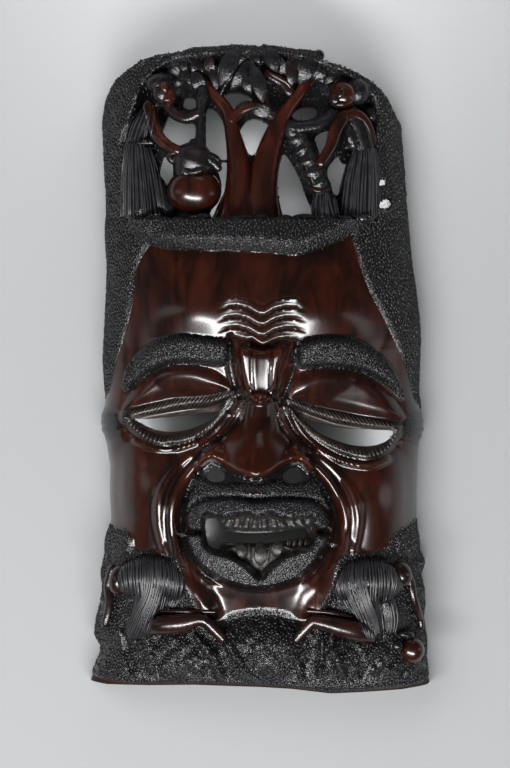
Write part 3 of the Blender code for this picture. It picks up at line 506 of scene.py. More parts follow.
def cheeks(x, y):
    """Full cheeks, with a broad fold and a lesser one from the nose down, and lines beside the eyes."""
    z = dome(x, y, (-116, 205), (42, 58), 15, 0, 1.2) + dome(x, y, (121, 200), (42, 58), 15, 0, 1.2)
    fold = (7, 10, 9, 11, 14), (8, 10, 8, 8, 7)
    lesser = (5, 9, 6), (3, 7, 4)
    strokes(z, x, y, [
        ([(-64, 234), (-78, 217), (-87, 197), (-90, 176), (-88, 155), (-84, 136), (-77, 116), (-66, 98),
          (-54, 84)], *fold),
        ([(56, 232), (71, 216), (82, 197), (87, 177), (86, 157), (81, 137), (75, 119), (67, 101), (57, 86)],
         *fold),
        ([(-70, 242), (-88, 226), (-100, 205), (-103, 180), (-100, 158), (-96, 143)], *lesser),
        ([(62, 240), (80, 223), (94, 203), (99, 182), (98, 163), (95, 146)], *lesser)])
    for y0 in (284, 276, 268):
        z += stroke(x, y, [(-172, y0 - 2), (-156, y0), (-140, y0 + 1)], 4, (4, 5, 2))
        z += stroke(x, y, [(176, y0 - 9), (162, y0 - 7), (144, y0 - 5)], 4, (4, 5, 2))
    return z


def cut_teeth(across, pitch):
    """Blunt teeth side by side: flat facets, tilted this way and that, with cuts between."""
    share = across / pitch % 1
    tilt = np.sin(2.4 * np.floor(across / pitch))
    return (4 + 3 * tilt * (share - 0.5)) * np.clip(np.minimum(share, 1 - share) * 4, 0, 1)


def mouth(x, y):
    """The muzzle, with its moustache, lips, gums and cut teeth, and the chin under it."""
    z = dome(x, y, (-3, 165), (84, 72), 17, fullness=1.0)
    round_muzzle = 5, (-6, -7, -6, -3, 0)
    strokes(z, x, y, [
        ([(-62, 226), (-72, 207), (-79, 188), (-80, 168), (-76, 146), (-67, 124), (-52, 105)], *round_muzzle),
        ([(54, 223), (65, 207), (74, 189), (77, 170), (74, 149), (66, 128), (54, 110)], *round_muzzle)])
    z += pad(x, y, MOUSTACHE, 5, 4)
    z += pad(x, y, UPPER_LIP, 10, 4)
    z += pad(x, y, LOWER_LIP, 11, 4)
    z += pad(x, y, MOUTH, -19, 3)
    z += pad(x, y, GUMS["upper"], 1, 4) * (4 + cut_teeth(x * (1 + 0.015 * (y - 173)), 9.5))
    z += pad(x, y, GUMS["lower"], 7, 2)
    strokes(z, x, y, [
        ([(-74, 164), (-66, 164), (-57, 164)], 3, -6),
        ([(57, 165), (64, 165), (71, 165)], 3, -5),
        ([(-77, 160), (-73, 144), (-62, 126), (-48, 116), (-38, 111)], (3.5, 4, 2), (-5, -4, -1)),
        ([(40, 114), (50, 119), (60, 130), (72, 150)], (2, 4, 3.5), (-1, -4, -5)),
        ([(-72, 132), (-62, 115), (-54, 100), (-46, 84)], (8, 14, 12), (1, 6, 4)),
        ([(70, 132), (60, 115), (50, 101), (44, 86)], (8, 14, 12), (1, 6, 4))])
    # Under the lip the chin falls away as steeply as the muzzle over it, down to the ground
    middle = np.clip(1 - (x / 58) ** 2, 0, None)
    lip_edge = 107.5 + 0.0055 * x * x
    z -= 4 * np.clip((lip_edge - y) / 3, 0, 1) * np.clip((y - 55) / 25, 0, 1) * np.sqrt(middle)
    under_lip = 165 - 72 * np.sqrt(np.clip(1 - ((x + 3) / 84) ** 2, 0, 1))
    ground_edge = 78 - 0.005 * x * x
    fall = np.clip(under_lip - y, 0, under_lip - ground_edge)
    z -= 0.5 * fall * np.clip((y - 50) / 25, 0, 1) * middle
    return z + stroke(x, y, LIP_RIM, 2.6, 2.5)


def ground(x, y):
    """The rough ground of the base, in mounds, ridges and gouged clods."""
    z = dome(x, y, (2, 46), (50, 36), 13, fullness=1.0) + dome(x, y, (-78, 38), (40, 30), 10)
    z += dome(x, y, (78, 36), (30, 32), 7) + dome(x, y, (120, 36), (34, 30), 7)
    z += dome(x, y, (-145, 153), (17, 15), 9, 0, 0.8) + dome(x, y, (153, 152), (15, 17), 9, 0, 0.8)
    z += dome(x, y, (-160, 125), (10, 14), 6, 0, 0.8) + dome(x, y, (166, 132), (9, 14), 6, 0, 0.8)
    strokes(z, x, y, [
        ([(-64, 58), (-54, 46), (-46, 34), (-40, 20)], (5, 9, 7), 10),
        ([(-34, 54), (-28, 44), (-20, 34)], (5, 7, 5), 8),
        ([(-20, 28), (-12, 20), (-2, 14)], (4, 6, 4), 5),
        ([(63, 64), (63, 50), (62, 34), (60, 22)], (4, 5, 4), 8),
        ([(73, 62), (73, 48), (77, 36), (84, 20)], (5, 8, 6), 9),
        ([(34, 40), (40, 28), (42, 16)], (4, 6, 4), 5),
        ([(-118, 60), (-112, 44), (-110, 24)], (6, 9, 6), 6),
        ([(-138, 66), (-134, 44), (-130, 24)], (4, 7, 5), -5),
        ([(112, 48), (104, 34), (102, 20)], (4, 6, 4), -5)])
    for i in range(14):
        z += dome(x, y, (-165 + 25 * i, 24 + 9 * (i % 3)), (15, 12), 4)
    # The foot's front edge is rounded over its last 10 mm
    z -= 5 * (1 - np.clip((y - np.interp(x, FOOT_X, FOOT_EDGE)) / 10, 0, 1)) ** 2
    return z + clods(x, y, 90, (-168, 168), (20, 66), 4.5)


def clods(x, y, count, across, up, height):
    """Gouged clods of many sizes, with steep sides, spread evenly without a pattern that shows."""
    z = np.zeros(x.shape)
    for i in range(count):
        # Multiples of uneven steps, wrapped to 0 to 1, never bunch up or line up
        right, wide, tall, full, turn = (i * step % 1 for step in (0.618034, 0.4142, 0.7321, 0.236, 0.337))
        rise = (i * 0.754878 + 0.3) % 1
        place = (across[0] + (across[1] - across[0]) * right, up[0] + (up[1] - up[0]) * rise)
        z = np.maximum(z, dome(x, y, place, (6 + 4 * wide, 4 + 3 * tall), height * (0.5 + 0.5 * full),
                               180 * turn, 0.8))
    return z


def face_relief(x, y):
    """All that the carver cut in the face and the base, as heights over the half log."""
    z = forehead(x, y) + side_hair(x, y) + furrows(x, y) + brow_tab(x, y) + eyes(x, y)
    return z + nose(x, y) + cheeks(x, y) + mouth(x, y) + ground(x, y)


def frame_relief(x, y):
    """The crown's frame, swelling here and there round the sunk ground of its scene."""
    z = 5 - pad(x, y, on_ledge(SCENE), SCENE_SINK + 5, 12)
    for i in range(9):
        turn = math.radians(170 - 20 * i)
        z += dome(x, y, (-8 + 138 * math.cos(turn), 575 + 66 * math.sin(turn)), (26, 26), 5)
    for i in range(4):
        z += dome(x, y, (-146, 500 + 25 * i), (14, 18), 4) + dome(x, y, (136, 500 + 25 * i), (14, 18), 4)
    rough = clods(x, y, 130, (-156, -126), (490, 640), 3.5) + clods(x, y, 110, (112, 146), (490, 620), 3.5)
    return z + np.maximum(rough, clods(x, y, 130, (-130, 120), (625, 655), 3.5))


# Where the wood is stained black, stippled or dusty

GROUND = [(-190, -20), (-190, 168), (-150, 169), (-134, 162), (-128, 148), (-104, 143), (-84, 138),
          (-76, 112), (-66, 92), (-44, 72), (-28, 82), (0, 86), (28, 82), (44, 70), (60, 88), (74, 112),
          (80, 138), (104, 143), (128, 147), (138, 162), (150, 169), (190, 168), (190, -20)]
UNDER_THE_NOSE = [(-64, 226), (-52, 234), (-40, 229), (-28, 222), (-15, 217), (-3, 215), (12, 218), (24, 227),
                  (36, 231), (50, 222), (58, 220), (45, 212), (0, 210), (-45, 212)]
KNOTS = {
    "left": [(-185, 292), (-160, 291), (-148, 284), (-144, 274), (-150, 262), (-162, 254), (-185, 252)],
    "right": [(185, 290), (163, 288), (150, 280), (146, 268), (152, 256), (164, 250), (185, 248)],
}
CUP = [(27, 154), (34, 159), (42, 160), (49, 159), (50, 150), (42, 149), (34, 149), (28, 147)]
PHILTRUM = [(-16, 210), (-3, 209), (6, 210), (6, 203), (-4, 202), (-16, 203)]

RASTER_X = np.arange(-192.0, 193.0)
RASTER_Y = np.arange(-12.0, 673.0)


def read(field, x, y):
    """The value of a raster at drawn places, between its points."""
    u = np.clip(x - RASTER_X[0], 0, len(RASTER_X) - 1.001)
    v = np.clip(y - RASTER_Y[0], 0, len(RASTER_Y) - 1.001)
    i, j = u.astype(int), v.astype(int)
    u, v = u - i, v - j
    low = field[j, i] * (1 - u) + field[j, i + 1] * u
    high = field[j + 1, i] * (1 - u) + field[j + 1, i + 1] * u
    return low * (1 - v) + high * v


def spread(field, reach):
    """A raster averaged over a square that reaches so many points each way."""
    out = field
    for axis in (0, 1):
        padded = np.concatenate([np.repeat(out.take([0], axis), reach + 1, axis), out,
                                 np.repeat(out.take([-1], axis), reach, axis)], axis)
        total = np.cumsum(padded, axis)
        n = field.shape[axis]
        upper = total.take(range(2 * reach + 1, 2 * reach + 1 + n), axis)
        out = (upper - total.take(range(n), axis)) / (2 * reach + 1)
    return out


def covered(x, y, outlines, edge=1.2):
    """1 inside any of some outlines and 0 outside them."""
    out = np.zeros(x.shape)
    for outline in outlines:
        ring = smooth_line(outline, 4, closed=True)
        here = near(x, y, ring, 2.0)
        inside = np.clip(depth_inside(x[here], y[here], ring) / edge + 0.5, 0, 1)
        out[here] = np.maximum(out[here], inside)
    return out


def along_lines(x, y, lines, width):
    """1 on any of some lines, fading to 0 at a width from them."""
    out = np.zeros(x.shape)
    for points in lines:
        line = smooth_line(points)
        here = near(x, y, line, width)
        d, _ = along(x[here], y[here], line)
        out[here] = np.maximum(out[here], np.clip(2 - 2 * d / width, 0, 1))
    return out


def surface_fields(relief, crown):
    """Rasters of a block's carving: height, stain, stipple, dust, hatching, unpolished cuts and edges, which
    mark worn crests and the hollows that get painted shade.
    """
    x, y = np.meshgrid(RASTER_X, RASTER_Y)
    height = relief(x, y)
    # Polishing rounds every cut a little
    height = 0.3 * height + 0.7 * spread(height, 1)
    if crown:
        stain = np.ones(x.shape)
        stipple = 1 - 0.6 * covered(x, y, [on_ledge(SCENE)], 6)
        dust = hatch = unpolished = np.zeros(x.shape)
    else:
        hairy = covered(x, y, [*SIDE_HAIR.values(), HAIR_BAND, *BROWS.values()])
        slot = covered(x, y, [MOUTH])
        lips = covered(x, y, [UPPER_LIP, LOWER_LIP])
        ground = covered(x, y, [GROUND], 4)
        lashes = along_lines(x, y, [*UPPER_LASH.values(), *LOWER_LASH.values()], 7)
        beard = covered(x, y, [MOUSTACHE, UNDER_THE_NOSE]) * (1 - 0.5 * covered(x, y, [PHILTRUM]))
        knots = covered(x, y, KNOTS.values(), 3)
        stain = np.maximum.reduce([hairy, slot, lips, ground, beard, 0.85 * lashes, knots])
        over_foot = y - np.interp(x, FOOT_X, FOOT_EDGE)
        # The stain is worn off the foot's edge, most of all at the left
        worn_foot = np.clip(1.3 - over_foot / 4, 0, 1) * np.clip((-60 - x) / 60, 0.1, 0.8)
        stain = stain * (1 - 0.6 * worn_foot)
        # The stipple thins out in patches of the ground
        bare = np.clip(np.sin(x / 9 + 2 * np.sin(y / 13)) + np.sin(y / 8 - x / 17), 0, 1)
        ground = ground * np.clip((over_foot - 1) / 3, 0, 1) * (1 - 0.35 * bare)
        stipple = np.maximum.reduce([hairy, ground, beard * covered(x, y, [MOUSTACHE])])
        eye_rims = along_lines(x, y, [o + o[:1] for k, o in FACE_OPENINGS.items() if "eye" in k], 6)
        under_teeth = along_lines(x, y, [CUP + CUP[:1], [(0, 134), (1, 128), (2, 121)]], 3)
        dust = np.maximum.reduce([0.35 * eye_rims, under_teeth, 0.3 * covered(x, y, [MOUTH], 3)])
        hatch = lips * (1 - along_lines(x, y, [LIP_RIM], 3))
        share, furrowed = furrow_rows(x, y)
        unpolished = 0.9 * furrowed * ((share < 0.22) | (share > 0.93))
    # How far each place stands over or sinks under its surroundings: crests are lightened as wear, hollows
    # are darkened as painted shade
    around = spread(spread(height, 3), 3)
    return {"height": height, "stain": stain, "stipple": stipple, "dust": dust, "hatch": hatch,
            "unpolished": unpolished, "edge": np.clip((height - around) / 2.5, -1, 1)}


# Solids


def place_all(points):
    """Points in drawn millimetres, in metres in the frame."""
    across, up, out = scale()
    p = np.asarray(points, float)
    return np.column_stack([p[:, 0] * across, (p[:, 1] - DRAWN_HEIGHT / 2) * up, p[:, 2] * out])


def drawn(points):
    """Points in metres in the frame, in drawn millimetres."""
    across, up, out = scale()
    return points[:, 0] / across, points[:, 1] / up + DRAWN_HEIGHT / 2, points[:, 2] / out


def solid(name, verts, faces, stain=None):
    """A closed object from points in drawn millimetres, its faces turned outwards."""
    mesh = bpy.data.meshes.new(name)
    mesh.from_pydata(place_all(verts).tolist(), [], faces)
    if stain is not None:
        mesh.attributes.new("stain", "FLOAT", "POINT").data.foreach_set("value", np.asarray(stain, "f"))
    bm = bmesh.new()
    bm.from_mesh(mesh)
    bmesh.ops.remove_doubles(bm, verts=bm.verts, dist=1e-6)
    bmesh.ops.recalc_face_normals(bm, faces=bm.faces)
    bm.to_mesh(mesh)
    bm.free()
    obj = bpy.data.objects.new(name, mesh)
    bpy.context.scene.collection.objects.link(obj)
    return obj


def gathered(name, forms):
    """One object from several closed forms, each with its points, faces and stain."""
    verts, faces, stain = [], [], []
    for points, sides, black in forms:
        first = len(verts)
        verts += [tuple(p) for p in points]
        faces += [tuple(first + i for i in side) for side in sides]
        stain += [black] * len(points)
    return solid(name, verts, faces, stain)


def settle(obj):
    """Turns what an object's modifiers make into its plain mesh, and removes them."""
    graph = bpy.context.evaluated_depsgraph_get()
    mesh = bpy.data.meshes.new_from_object(obj.evaluated_get(graph), depsgraph=graph)
    if obj.type == "MESH":
        obj.modifiers.clear()
        obj.data = mesh
        return obj
    name = obj.name
    bpy.data.objects.remove(obj)
    made = bpy.data.objects.new(name, mesh)
    bpy.context.scene.collection.objects.link(made)
    return made


def finish_piece(obj, material, crease=40, replaces=False):
    """Gives a piece its finish, its smooth faces and its body."""
    obj.data.materials.clear()
    obj.data.materials.append(material)
    obj.data.shade_smooth()
    obj.data.set_sharp_from_angle(angle=math.radians(crease))
    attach(obj, "root")
    if replaces:
        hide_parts("mask")


def grid_faces(rows, columns):
    """The faces of a grid of points, row by row."""
    return [(a, a + 1, a + columns + 1, a + columns)
            for r in range(rows - 1) for a in range(r * columns, r * columns + columns - 1)]


def even_turns():
    """The turns round the half log at which its columns lie, close in front and wider down its sides."""
    samples, front_share = 2001, 0.93
    turn = np.linspace(-math.pi / 2, math.pi / 2, samples)
    x = DRAWN_WIDTH / 2 * np.sin(turn)
    z = max(CREST) * np.cos(turn) ** ROUNDNESS
    step = np.hypot(np.diff(x), np.diff(z))
    middle = 0.5 * (turn[1:] + turn[:-1])
    pitch = np.where(np.abs(np.sin(middle)) < front_share, FINE_PITCH, SIDE_PITCH)
    count = np.concatenate([[0], np.cumsum(step / pitch)])
    return np.interp(np.linspace(0, count[-1], round(count[-1])), count, turn)


def block(name, bottom, top, fields):
    """A slice of the half log from one drawn edge to another, carved in front and flat behind."""
    turn = even_turns()
    columns = len(turn)
    rows = round((top.max() - bottom.min()) / FINE_PITCH)
    share = np.linspace(0, 1, rows)[:, None]
    across = np.broadcast_to(np.sin(turn), (rows, columns))
    middle_left, middle_right = edges_at(np.array(0.5 * (bottom.mean() + top.mean())))
    plain_x = np.sin(turn) * np.where(turn < 0, middle_left, middle_right)
    low, high = np.interp(plain_x, TABLE_X, bottom), np.interp(plain_x, TABLE_X, top)
    y = low + share * (high - low)
    left, right = edges_at(y)
    x = across * np.where(across < 0, left, right)
    z = log_height(x, y)
    lift = read(fields["height"], x, y)
    # Down the sides the relief turns outwards and calms
    lean = np.clip((np.abs(across) - 0.8) / 0.2, 0, 1)
    lean = lean * lean * (3 - 2 * lean) * math.pi / 2
    lift = lift * (1 - EDGE_CALM * np.sin(lean))
    front = np.stack([x + lift * np.sin(lean) * np.sign(x), y, z + lift * np.cos(lean)], -1)
    front[:, 0, 2] = front[:, -1, 2] = 0
    half = rows * columns
    foot, head = front[0, 1:-1].copy(), front[-1, 1:-1].copy()
    foot[:, 2] = head[:, 2] = 0
    verts = np.concatenate([front.reshape(-1, 3), foot, head])
    foot_row = [0, *range(half, half + columns - 2), columns - 1]
    head_row = [half - columns, *range(half + columns - 2, half + 2 * columns - 4), half - 1]
    faces = grid_faces(rows, columns)
    for c in range(columns - 1):
        faces.append((c, c + 1, foot_row[c + 1], foot_row[c]))
        faces.append((half - columns + c, half - columns + c + 1, head_row[c + 1], head_row[c]))
    left_side = [r * columns for r in range(1, rows - 1)]
    right_side = [r * columns + columns - 1 for r in range(1, rows - 1)]
    faces.append(tuple(foot_row + right_side + head_row[::-1] + left_side[::-1]))
    return solid(name, verts, faces)


def edge_table(xs, heights):
    """An edge's height at each place of TABLE_X."""
    return np.interp(TABLE_X, xs, heights)


def on_log(x, y, lift):
    """A point over the plain log."""
    return Vector((x, y, float(log_height(np.array(float(x)), np.array(float(y)))) + lift))


def in_crown(x, height, lift):
    """A point over the log and over the ledge, sunk back with the crown's scene."""
    (_, y), = on_ledge([(x, height)])
    return on_log(x, y, lift - FIGURE_SINK)


def limb(place, points, stain, sides=20, steps=7):
    """A round limb through (x, y, lift, radius): lift is how far its middle stands over the log."""
    line = smooth_line(points, steps)
    verts, faces = [], []
    spine = np.array([place(*p[:3]) for p in line])
    for i, (p, radius) in enumerate(zip(spine, line[:, 3])):
        way = Vector(spine[min(i + 1, len(spine) - 1)] - spine[max(i - 1, 0)]).normalized()
        out = (Vector((0, 0, 1)) - way * way.z).normalized()
        side = way.cross(out)
        for k in range(sides):
            turn = 2 * math.pi * k / sides
            verts.append(Vector(p) + (side * math.cos(turn) + out * math.sin(turn)) * radius)
    rings = len(line)
    for r in range(rings - 1):
        for k in range(sides):
            a, b = r * sides + k, r * sides + (k + 1) % sides
            faces.append((a, b, b + sides, a + sides))
    for ring, step in ((0, -1), (rings - 1, 1)):
        way = Vector(spine[ring] - spine[ring - step]).normalized()
        base = [ring * sides + k for k in range(sides)]
        # Each end is rounded off by two smaller rings
        for reach, width in ((0.55, 0.8), (0.85, 0.4)):
            first = len(verts)
            middle = Vector(spine[ring])
            verts += [middle + (verts[ring * sides + k] - middle) * width + way * line[ring, 3] * reach
                      for k in range(sides)]
            nxt = list(range(first, first + sides))
            faces += [(base[k], base[(k + 1) % sides], nxt[(k + 1) % sides], nxt[k]) for k in range(sides)]
            base = nxt
        faces.append(tuple(base))
    return verts, faces, stain


def ball(place, x, y, lift, radii, stain, turn=0.0):
    """An egg of wood over the log, turned in the face's plane."""
    middle = place(x, y, lift)
    bm = bmesh.new()
    bmesh.ops.create_uvsphere(bm, u_segments=24, v_segments=14, radius=1.0)
    spin = Matrix.Rotation(math.radians(turn), 4, "Z")
    seat = Matrix.Translation(middle) @ spin @ Matrix.Diagonal((*radii, 1))
    bmesh.ops.transform(bm, matrix=seat, verts=bm.verts)
    verts = [v.co.copy() for v in bm.verts]
    faces = [[v.index for v in f.verts] for f in bm.faces]
    bm.free()
    return verts, faces, stain


def leaf(place, x, y, lift, length, width, turn, stain=0.95, tilt=0.0, point=0.7):
    """A thick leaf, folded along its midrib, turned in the face's plane, tilted about its rib. A low value
    of point makes its ends blunt."""
    middle = place(x, y, lift)
    verts, faces = [], []
    stations, sides = 15, 12
    thick, folded, bowed, least_width, rib = 0.42, 0.30, 0.10, 0.06, 1.0
    for i in range(stations):
        t = i / (stations - 1)
        half = width / 2 * max(math.sin(math.pi * t) ** point, least_width)
        bow = bowed * length * (4 * t * (1 - t))
        for k in range(sides):
            a = 2 * math.pi * k / sides
            fold = folded * half * abs(math.cos(a)) + (rib if k == sides // 4 else 0.0)
            out = thick * half * math.sin(a) + fold + bow
            verts.append(Vector(((t - 0.5) * length, half * math.cos(a), out)))
    for i in range(stations - 1):
        for k in range(sides):
            a, b = i * sides + k, i * sides + (k + 1) % sides
            faces.append((a, b, b + sides, a + sides))
    faces += [tuple(range(sides)), tuple((stations - 1) * sides + k for k in range(sides))]
    seat = (Matrix.Translation(middle) @ Matrix.Rotation(math.radians(turn), 4, "Z")
            @ Matrix.Rotation(math.radians(tilt), 4, "X"))
    return [seat @ v for v in verts], faces, stain


# The crown's scene and the base's figures

# How much of the black stain a form carries
BROWN, DARK, BLACK = 0.0, 0.7, 1.0


def tree():
    """The tree: its foot, two trunks with their branches, a creeper and the canopy."""
    c = in_crown
    return [
        limb(c, [(-14, -14, -22, 40), (-13, 0, -21, 36), (-12, 14, -17, 31), (-11, 28, -16, 25),
                 (-10, 40, -18, 18), (-9, 50, -26, 10)], BROWN, 32),
        limb(c, [(-29, -6, -5, 19), (-25, 8, -3, 17.5), (-21, 24, -2, 16), (-20, 42, 0, 14.5),
                 (-22, 60, 2, 12), (-26, 80, 4, 9), (-30, 98, 5, 7), (-34, 112, 5, 6.5), (-46, 127, 3, 6),
                 (-60, 142, 2, 6), (-68, 152, 0, 5)], BROWN),
        limb(c, [(-30, 101, 6, 6.5), (-22, 109, 6, 5.5), (-12, 114, 6, 5), (-4, 116, 5, 5), (4, 112, 4, 5)],
             BROWN),
        limb(c, [(4, -6, -5, 18), (2, 8, -3, 18), (1, 24, -2, 17), (3, 42, 0, 15.5), (7, 60, 2, 13.5),
                 (12, 78, 4, 11.5), (20, 98, 5, 9), (30, 115, 6, 6.5), (42, 131, 5, 6), (50, 150, 3, 6)],
             BROWN),
        limb(c, [(21, 97, 4, 7), (15, 104, 4, 5.5), (8, 110, 4, 5), (4, 122, 2, 6), (2, 136, 0, 7)], DARK),
        limb(c, [(30, 130, 4, 6), (22, 140, 3, 6), (8, 148, 2, 6)], DARK),
        limb(c, [(-40, 128, 7, 2), (-34, 140, 9, 2.4), (-25, 149, 10, 2.4), (-12, 166, 9, 2)], BLACK, 12),
        limb(c, [(8, 150, 8, 2), (20, 144, 9, 2.4), (29, 138, 8, 2.4), (34, 129, 6, 2)], BROWN, 12),
        *canopy(),
    ]


def canopy():
    """The tree's thick leaves, lapping over each other up to the top of the crown."""
    # Each leaf's place, lift, length, width, turn, stain and tilt
    places = [
        (-64, 157, 4, 28, 18, 80, DARK, 20), (-62, 141, 8, 26, 15, 125, 1, -15),
        (-50, 160, 6, 34, 12, 100, DARK, -20), (-46, 146, 5, 30, 13, 100, 1, 15),
        (-31, 156, 11, 46, 19, 62, 1, -12), (-20, 148, 7, 38, 14, 58, 1, 18),
        (-17, 166, 6, 26, 12, 75, 1, 10), (-13, 139, 9, 26, 9, 108, 1, -15),
        (-3, 139, 12, 44, 16, 107, 1, 12), (-4, 164, 6, 28, 13, 95, 1, -20),
        (11, 164, 9, 34, 17, 118, 1, 10), (22, 158, 5, 32, 14, 125, 1, -18),
        (31, 150, 7, 34, 13, 95, DARK, 14), (38, 160, 5, 30, 13, 80, 1, -12),
        (47, 154, 10, 36, 17, 66, 1, 14), (57, 155, 7, 24, 12, 75, 1, -15), (62, 152, 4, 26, 12, 60, 1, 12),
        (74, 148, 2, 28, 13, 50, 1, -10), (2, 112, 5, 30, 14, -18, 1, 15), (-16, 116, 6, 20, 9, 20, 1, 0),
        (-78, 160, 2, 28, 14, 115, 1, 12), (-88, 156, 0, 24, 12, 125, 1, -12),
        (-74, 146, 2, 24, 11, 130, 1, 10), (84, 140, 1, 24, 12, 40, 1, 12),
    ]
    leaves = [leaf(in_crown, *place) for place in places]
    knobs = [(60, 168, 4, (6, 6, 6)), (-24, 172, 3, (8, 5, 7)), (10, 172, 4, (8, 5, 7)),
             (-40, 172, 2, (7, 4, 6)), (30, 171, 2, (8, 4, 6)), (-56, 171, 1, (7, 5, 6)),
             (45, 168, 2, (6, 5, 6))]
    return leaves + [ball(in_crown, x, height, lift, radii, BLACK) for x, height, lift, radii in knobs]


def woman_with_jar():
    """The woman at the left: head, body, skirt, arms and the pestle in her hand."""
    c = in_crown
    return [
        ball(c, -99, 130, 14, (11, 14, 12), DARK), ball(c, -103, 140, 12, (14, 10, 13), BLACK, 20),
        ball(c, -93, 125, 16, (8, 9, 9), BROWN), ball(c, -97, 134, 25, (4, 6, 4), BROWN, 15),
        ball(c, -94, 122, 24, (5, 2.6, 3), BROWN, 10), ball(c, -104, 137, 24, (5, 2.2, 3), DARK, 20),
        limb(c, [(-104, 122, 8, 6), (-112, 112, 6, 9), (-121, 96, 5, 11), (-126, 80, 5, 12)], BLACK),
        limb(c, [(-140, 80, 9, 2.5), (-126, 79, 15, 2.8), (-110, 79, 12, 2.5)], BLACK, 12),
        limb(c, [(-126, 81, 5, 12), (-124, 65, 3, 16), (-121, 38, 0, 20), (-117, 10, -4, 23)], BLACK, 28),
        limb(c, [(-105, 38, 2, 8), (-100, 23, 2, 9), (-92, 10, 0, 9)], BLACK),
        limb(c, [(-113, 116, 15, 7), (-109, 99, 18, 6.5), (-103, 84, 20, 6.5), (-93, 75, 20, 5.5),
                 (-83, 70, 20, 5.5)], BROWN),
        limb(c, [(-95, 118, 8, 6), (-86, 107, 8, 5.5), (-74, 103, 10, 5.5), (-63, 108, 12, 5.5)], DARK),
        limb(c, [(-58, 138, 9, 3), (-59, 130, 12, 6), (-60, 119, 12, 5.5), (-60, 107, 13, 3.2),
                 (-61, 95, 13, 3), (-61, 84, 13, 5), (-62, 74, 13, 6.5), (-62, 64, 12, 4)], BLACK),
        ball(c, -66, 74, 12, (6, 9, 6), BLACK, 20),
    ]


def jar():
    """A round jar with a wide neck and a rolled rim."""
    c = in_crown
    rim = []
    for k in range(17):
        right, up = math.cos(math.pi * k / 8), math.sin(math.pi * k / 8)
        rim.append((-67 + 25 * right, 61 + 8 * up - 3 * right, 13 + 7 * up - 4 * right, 3.6))
    return [
        ball(c, -67, 29, 6, (28, 24, 25), BROWN),
        limb(c, [(-71, 44, 7, 17), (-70, 51, 8, 19), (-68, 58, 8, 23)], 0.85, 32),
        ball(c, -67, 60, 9, (22, 6, 15), BLACK, -6),
        limb(c, rim, 0.9, 12, 3),
        limb(c, [(-60, 66, 16, 5), (-50, 60, 16, 4.5), (-42, 52, 13, 4)], BLACK),
        limb(c, [(-80, 56, 22, 3), (-70, 48, 26, 3.5), (-60, 50, 25, 3)], BLACK, 12),
        ball(c, -68, 4, -6, (18, 10, 16), BLACK),
    ]


def ledge_lumps():
    """Rough lumps of ground along the ledge that the scene stands on."""
    return [ball(on_log, -124 + 14 * i + 4 * math.sin(2.1 * i), LEDGE + 1.5 * math.sin(1.7 * i), 9,
                 (10 + 2 * math.sin(3.3 * i), 4.5 + math.sin(2.9 * i), 7), BLACK) for i in range(17)]


def woman_with_drum():
    """The woman at the right: head, body, arms, girdle and skirt."""
    c = in_crown
    return [
        ball(c, 84, 127, 14, (14, 14, 13), BROWN), ball(c, 99, 131, 10, (13, 15, 13), BLACK),
        ball(c, 78, 122, 16, (8, 8, 8), DARK), ball(c, 82, 128, 26, (3.5, 6, 4), BROWN, -15),
        ball(c, 82, 117, 24, (6, 2.6, 3), BROWN, 0),
        limb(c, [(92, 116, 8, 6), (96, 104, 7, 11), (101, 88, 6, 12), (106, 71, 5, 12)], BLACK),
        limb(c, [(82, 104, 13, 6), (94, 108, 14, 6.5), (104, 103, 13, 6.5), (111, 92, 11, 6),
                 (115, 79, 9, 5)], BROWN),
        limb(c, [(84, 103, 14, 7), (76, 88, 17, 6.5), (72, 74, 18, 6), (62, 57, 18, 5.5)], BROWN),
        limb(c, [(76, 108, 8, 7), (60, 97, 10, 7), (45, 94, 11, 7), (33, 93, 11, 8)], BLACK),
        limb(c, [(88, 96, 10, 5), (92, 86, 12, 6.5), (95, 76, 11, 6)], 0.9),
        limb(c, [(88, 74, 13, 2.6), (96, 78, 14, 3), (104, 74, 12, 3), (110, 68, 10, 2.6)], BLACK, 12),
        ball(c, 118, 66, 4, (7, 8, 7), BLACK), ball(c, 120, 96, 2, (8, 9, 7), BLACK),
        ball(c, 113, 108, 5, (8, 8, 7), BLACK),
        limb(c, [(106, 71, 4, 13), (104, 50, 2, 18), (101, 26, -2, 21), (99, 6, -6, 23)], BLACK, 28),
    ]


def drum():
    """A drum held aslant, bound with cords, over its pleated foot."""
    c = in_crown
    return [
        limb(c, [(37, 88, 5, 9), (39, 82, 6, 12.5), (42, 77, 6, 10), (45, 71, 6, 13), (48, 66, 7, 10.5),
                 (50, 60, 7, 13), (53, 55, 7, 10.5), (55, 48, 7, 12.5), (58, 42, 7, 10), (60, 36, 7, 12)],
                 BLACK, 28),
        limb(c, [(59, 38, 6, 9), (62, 30, 6, 11.5), (63, 26, 6, 9.5), (65, 16, 5, 13), (67, 2, 4, 15)],
             BLACK, 28),
        limb(c, [(44, 60, 15, 1.6), (52, 44, 15, 1.8), (58, 30, 14, 1.6)], BLACK, 8),
        limb(c, [(50, 32, 12, 2.5), (60, 29, 17, 2.8), (71, 32, 12, 2.5)], 0.3, 10),
        ball(c, 33, 90, 8, (9, 12, 10), BLACK, 20),
    ]


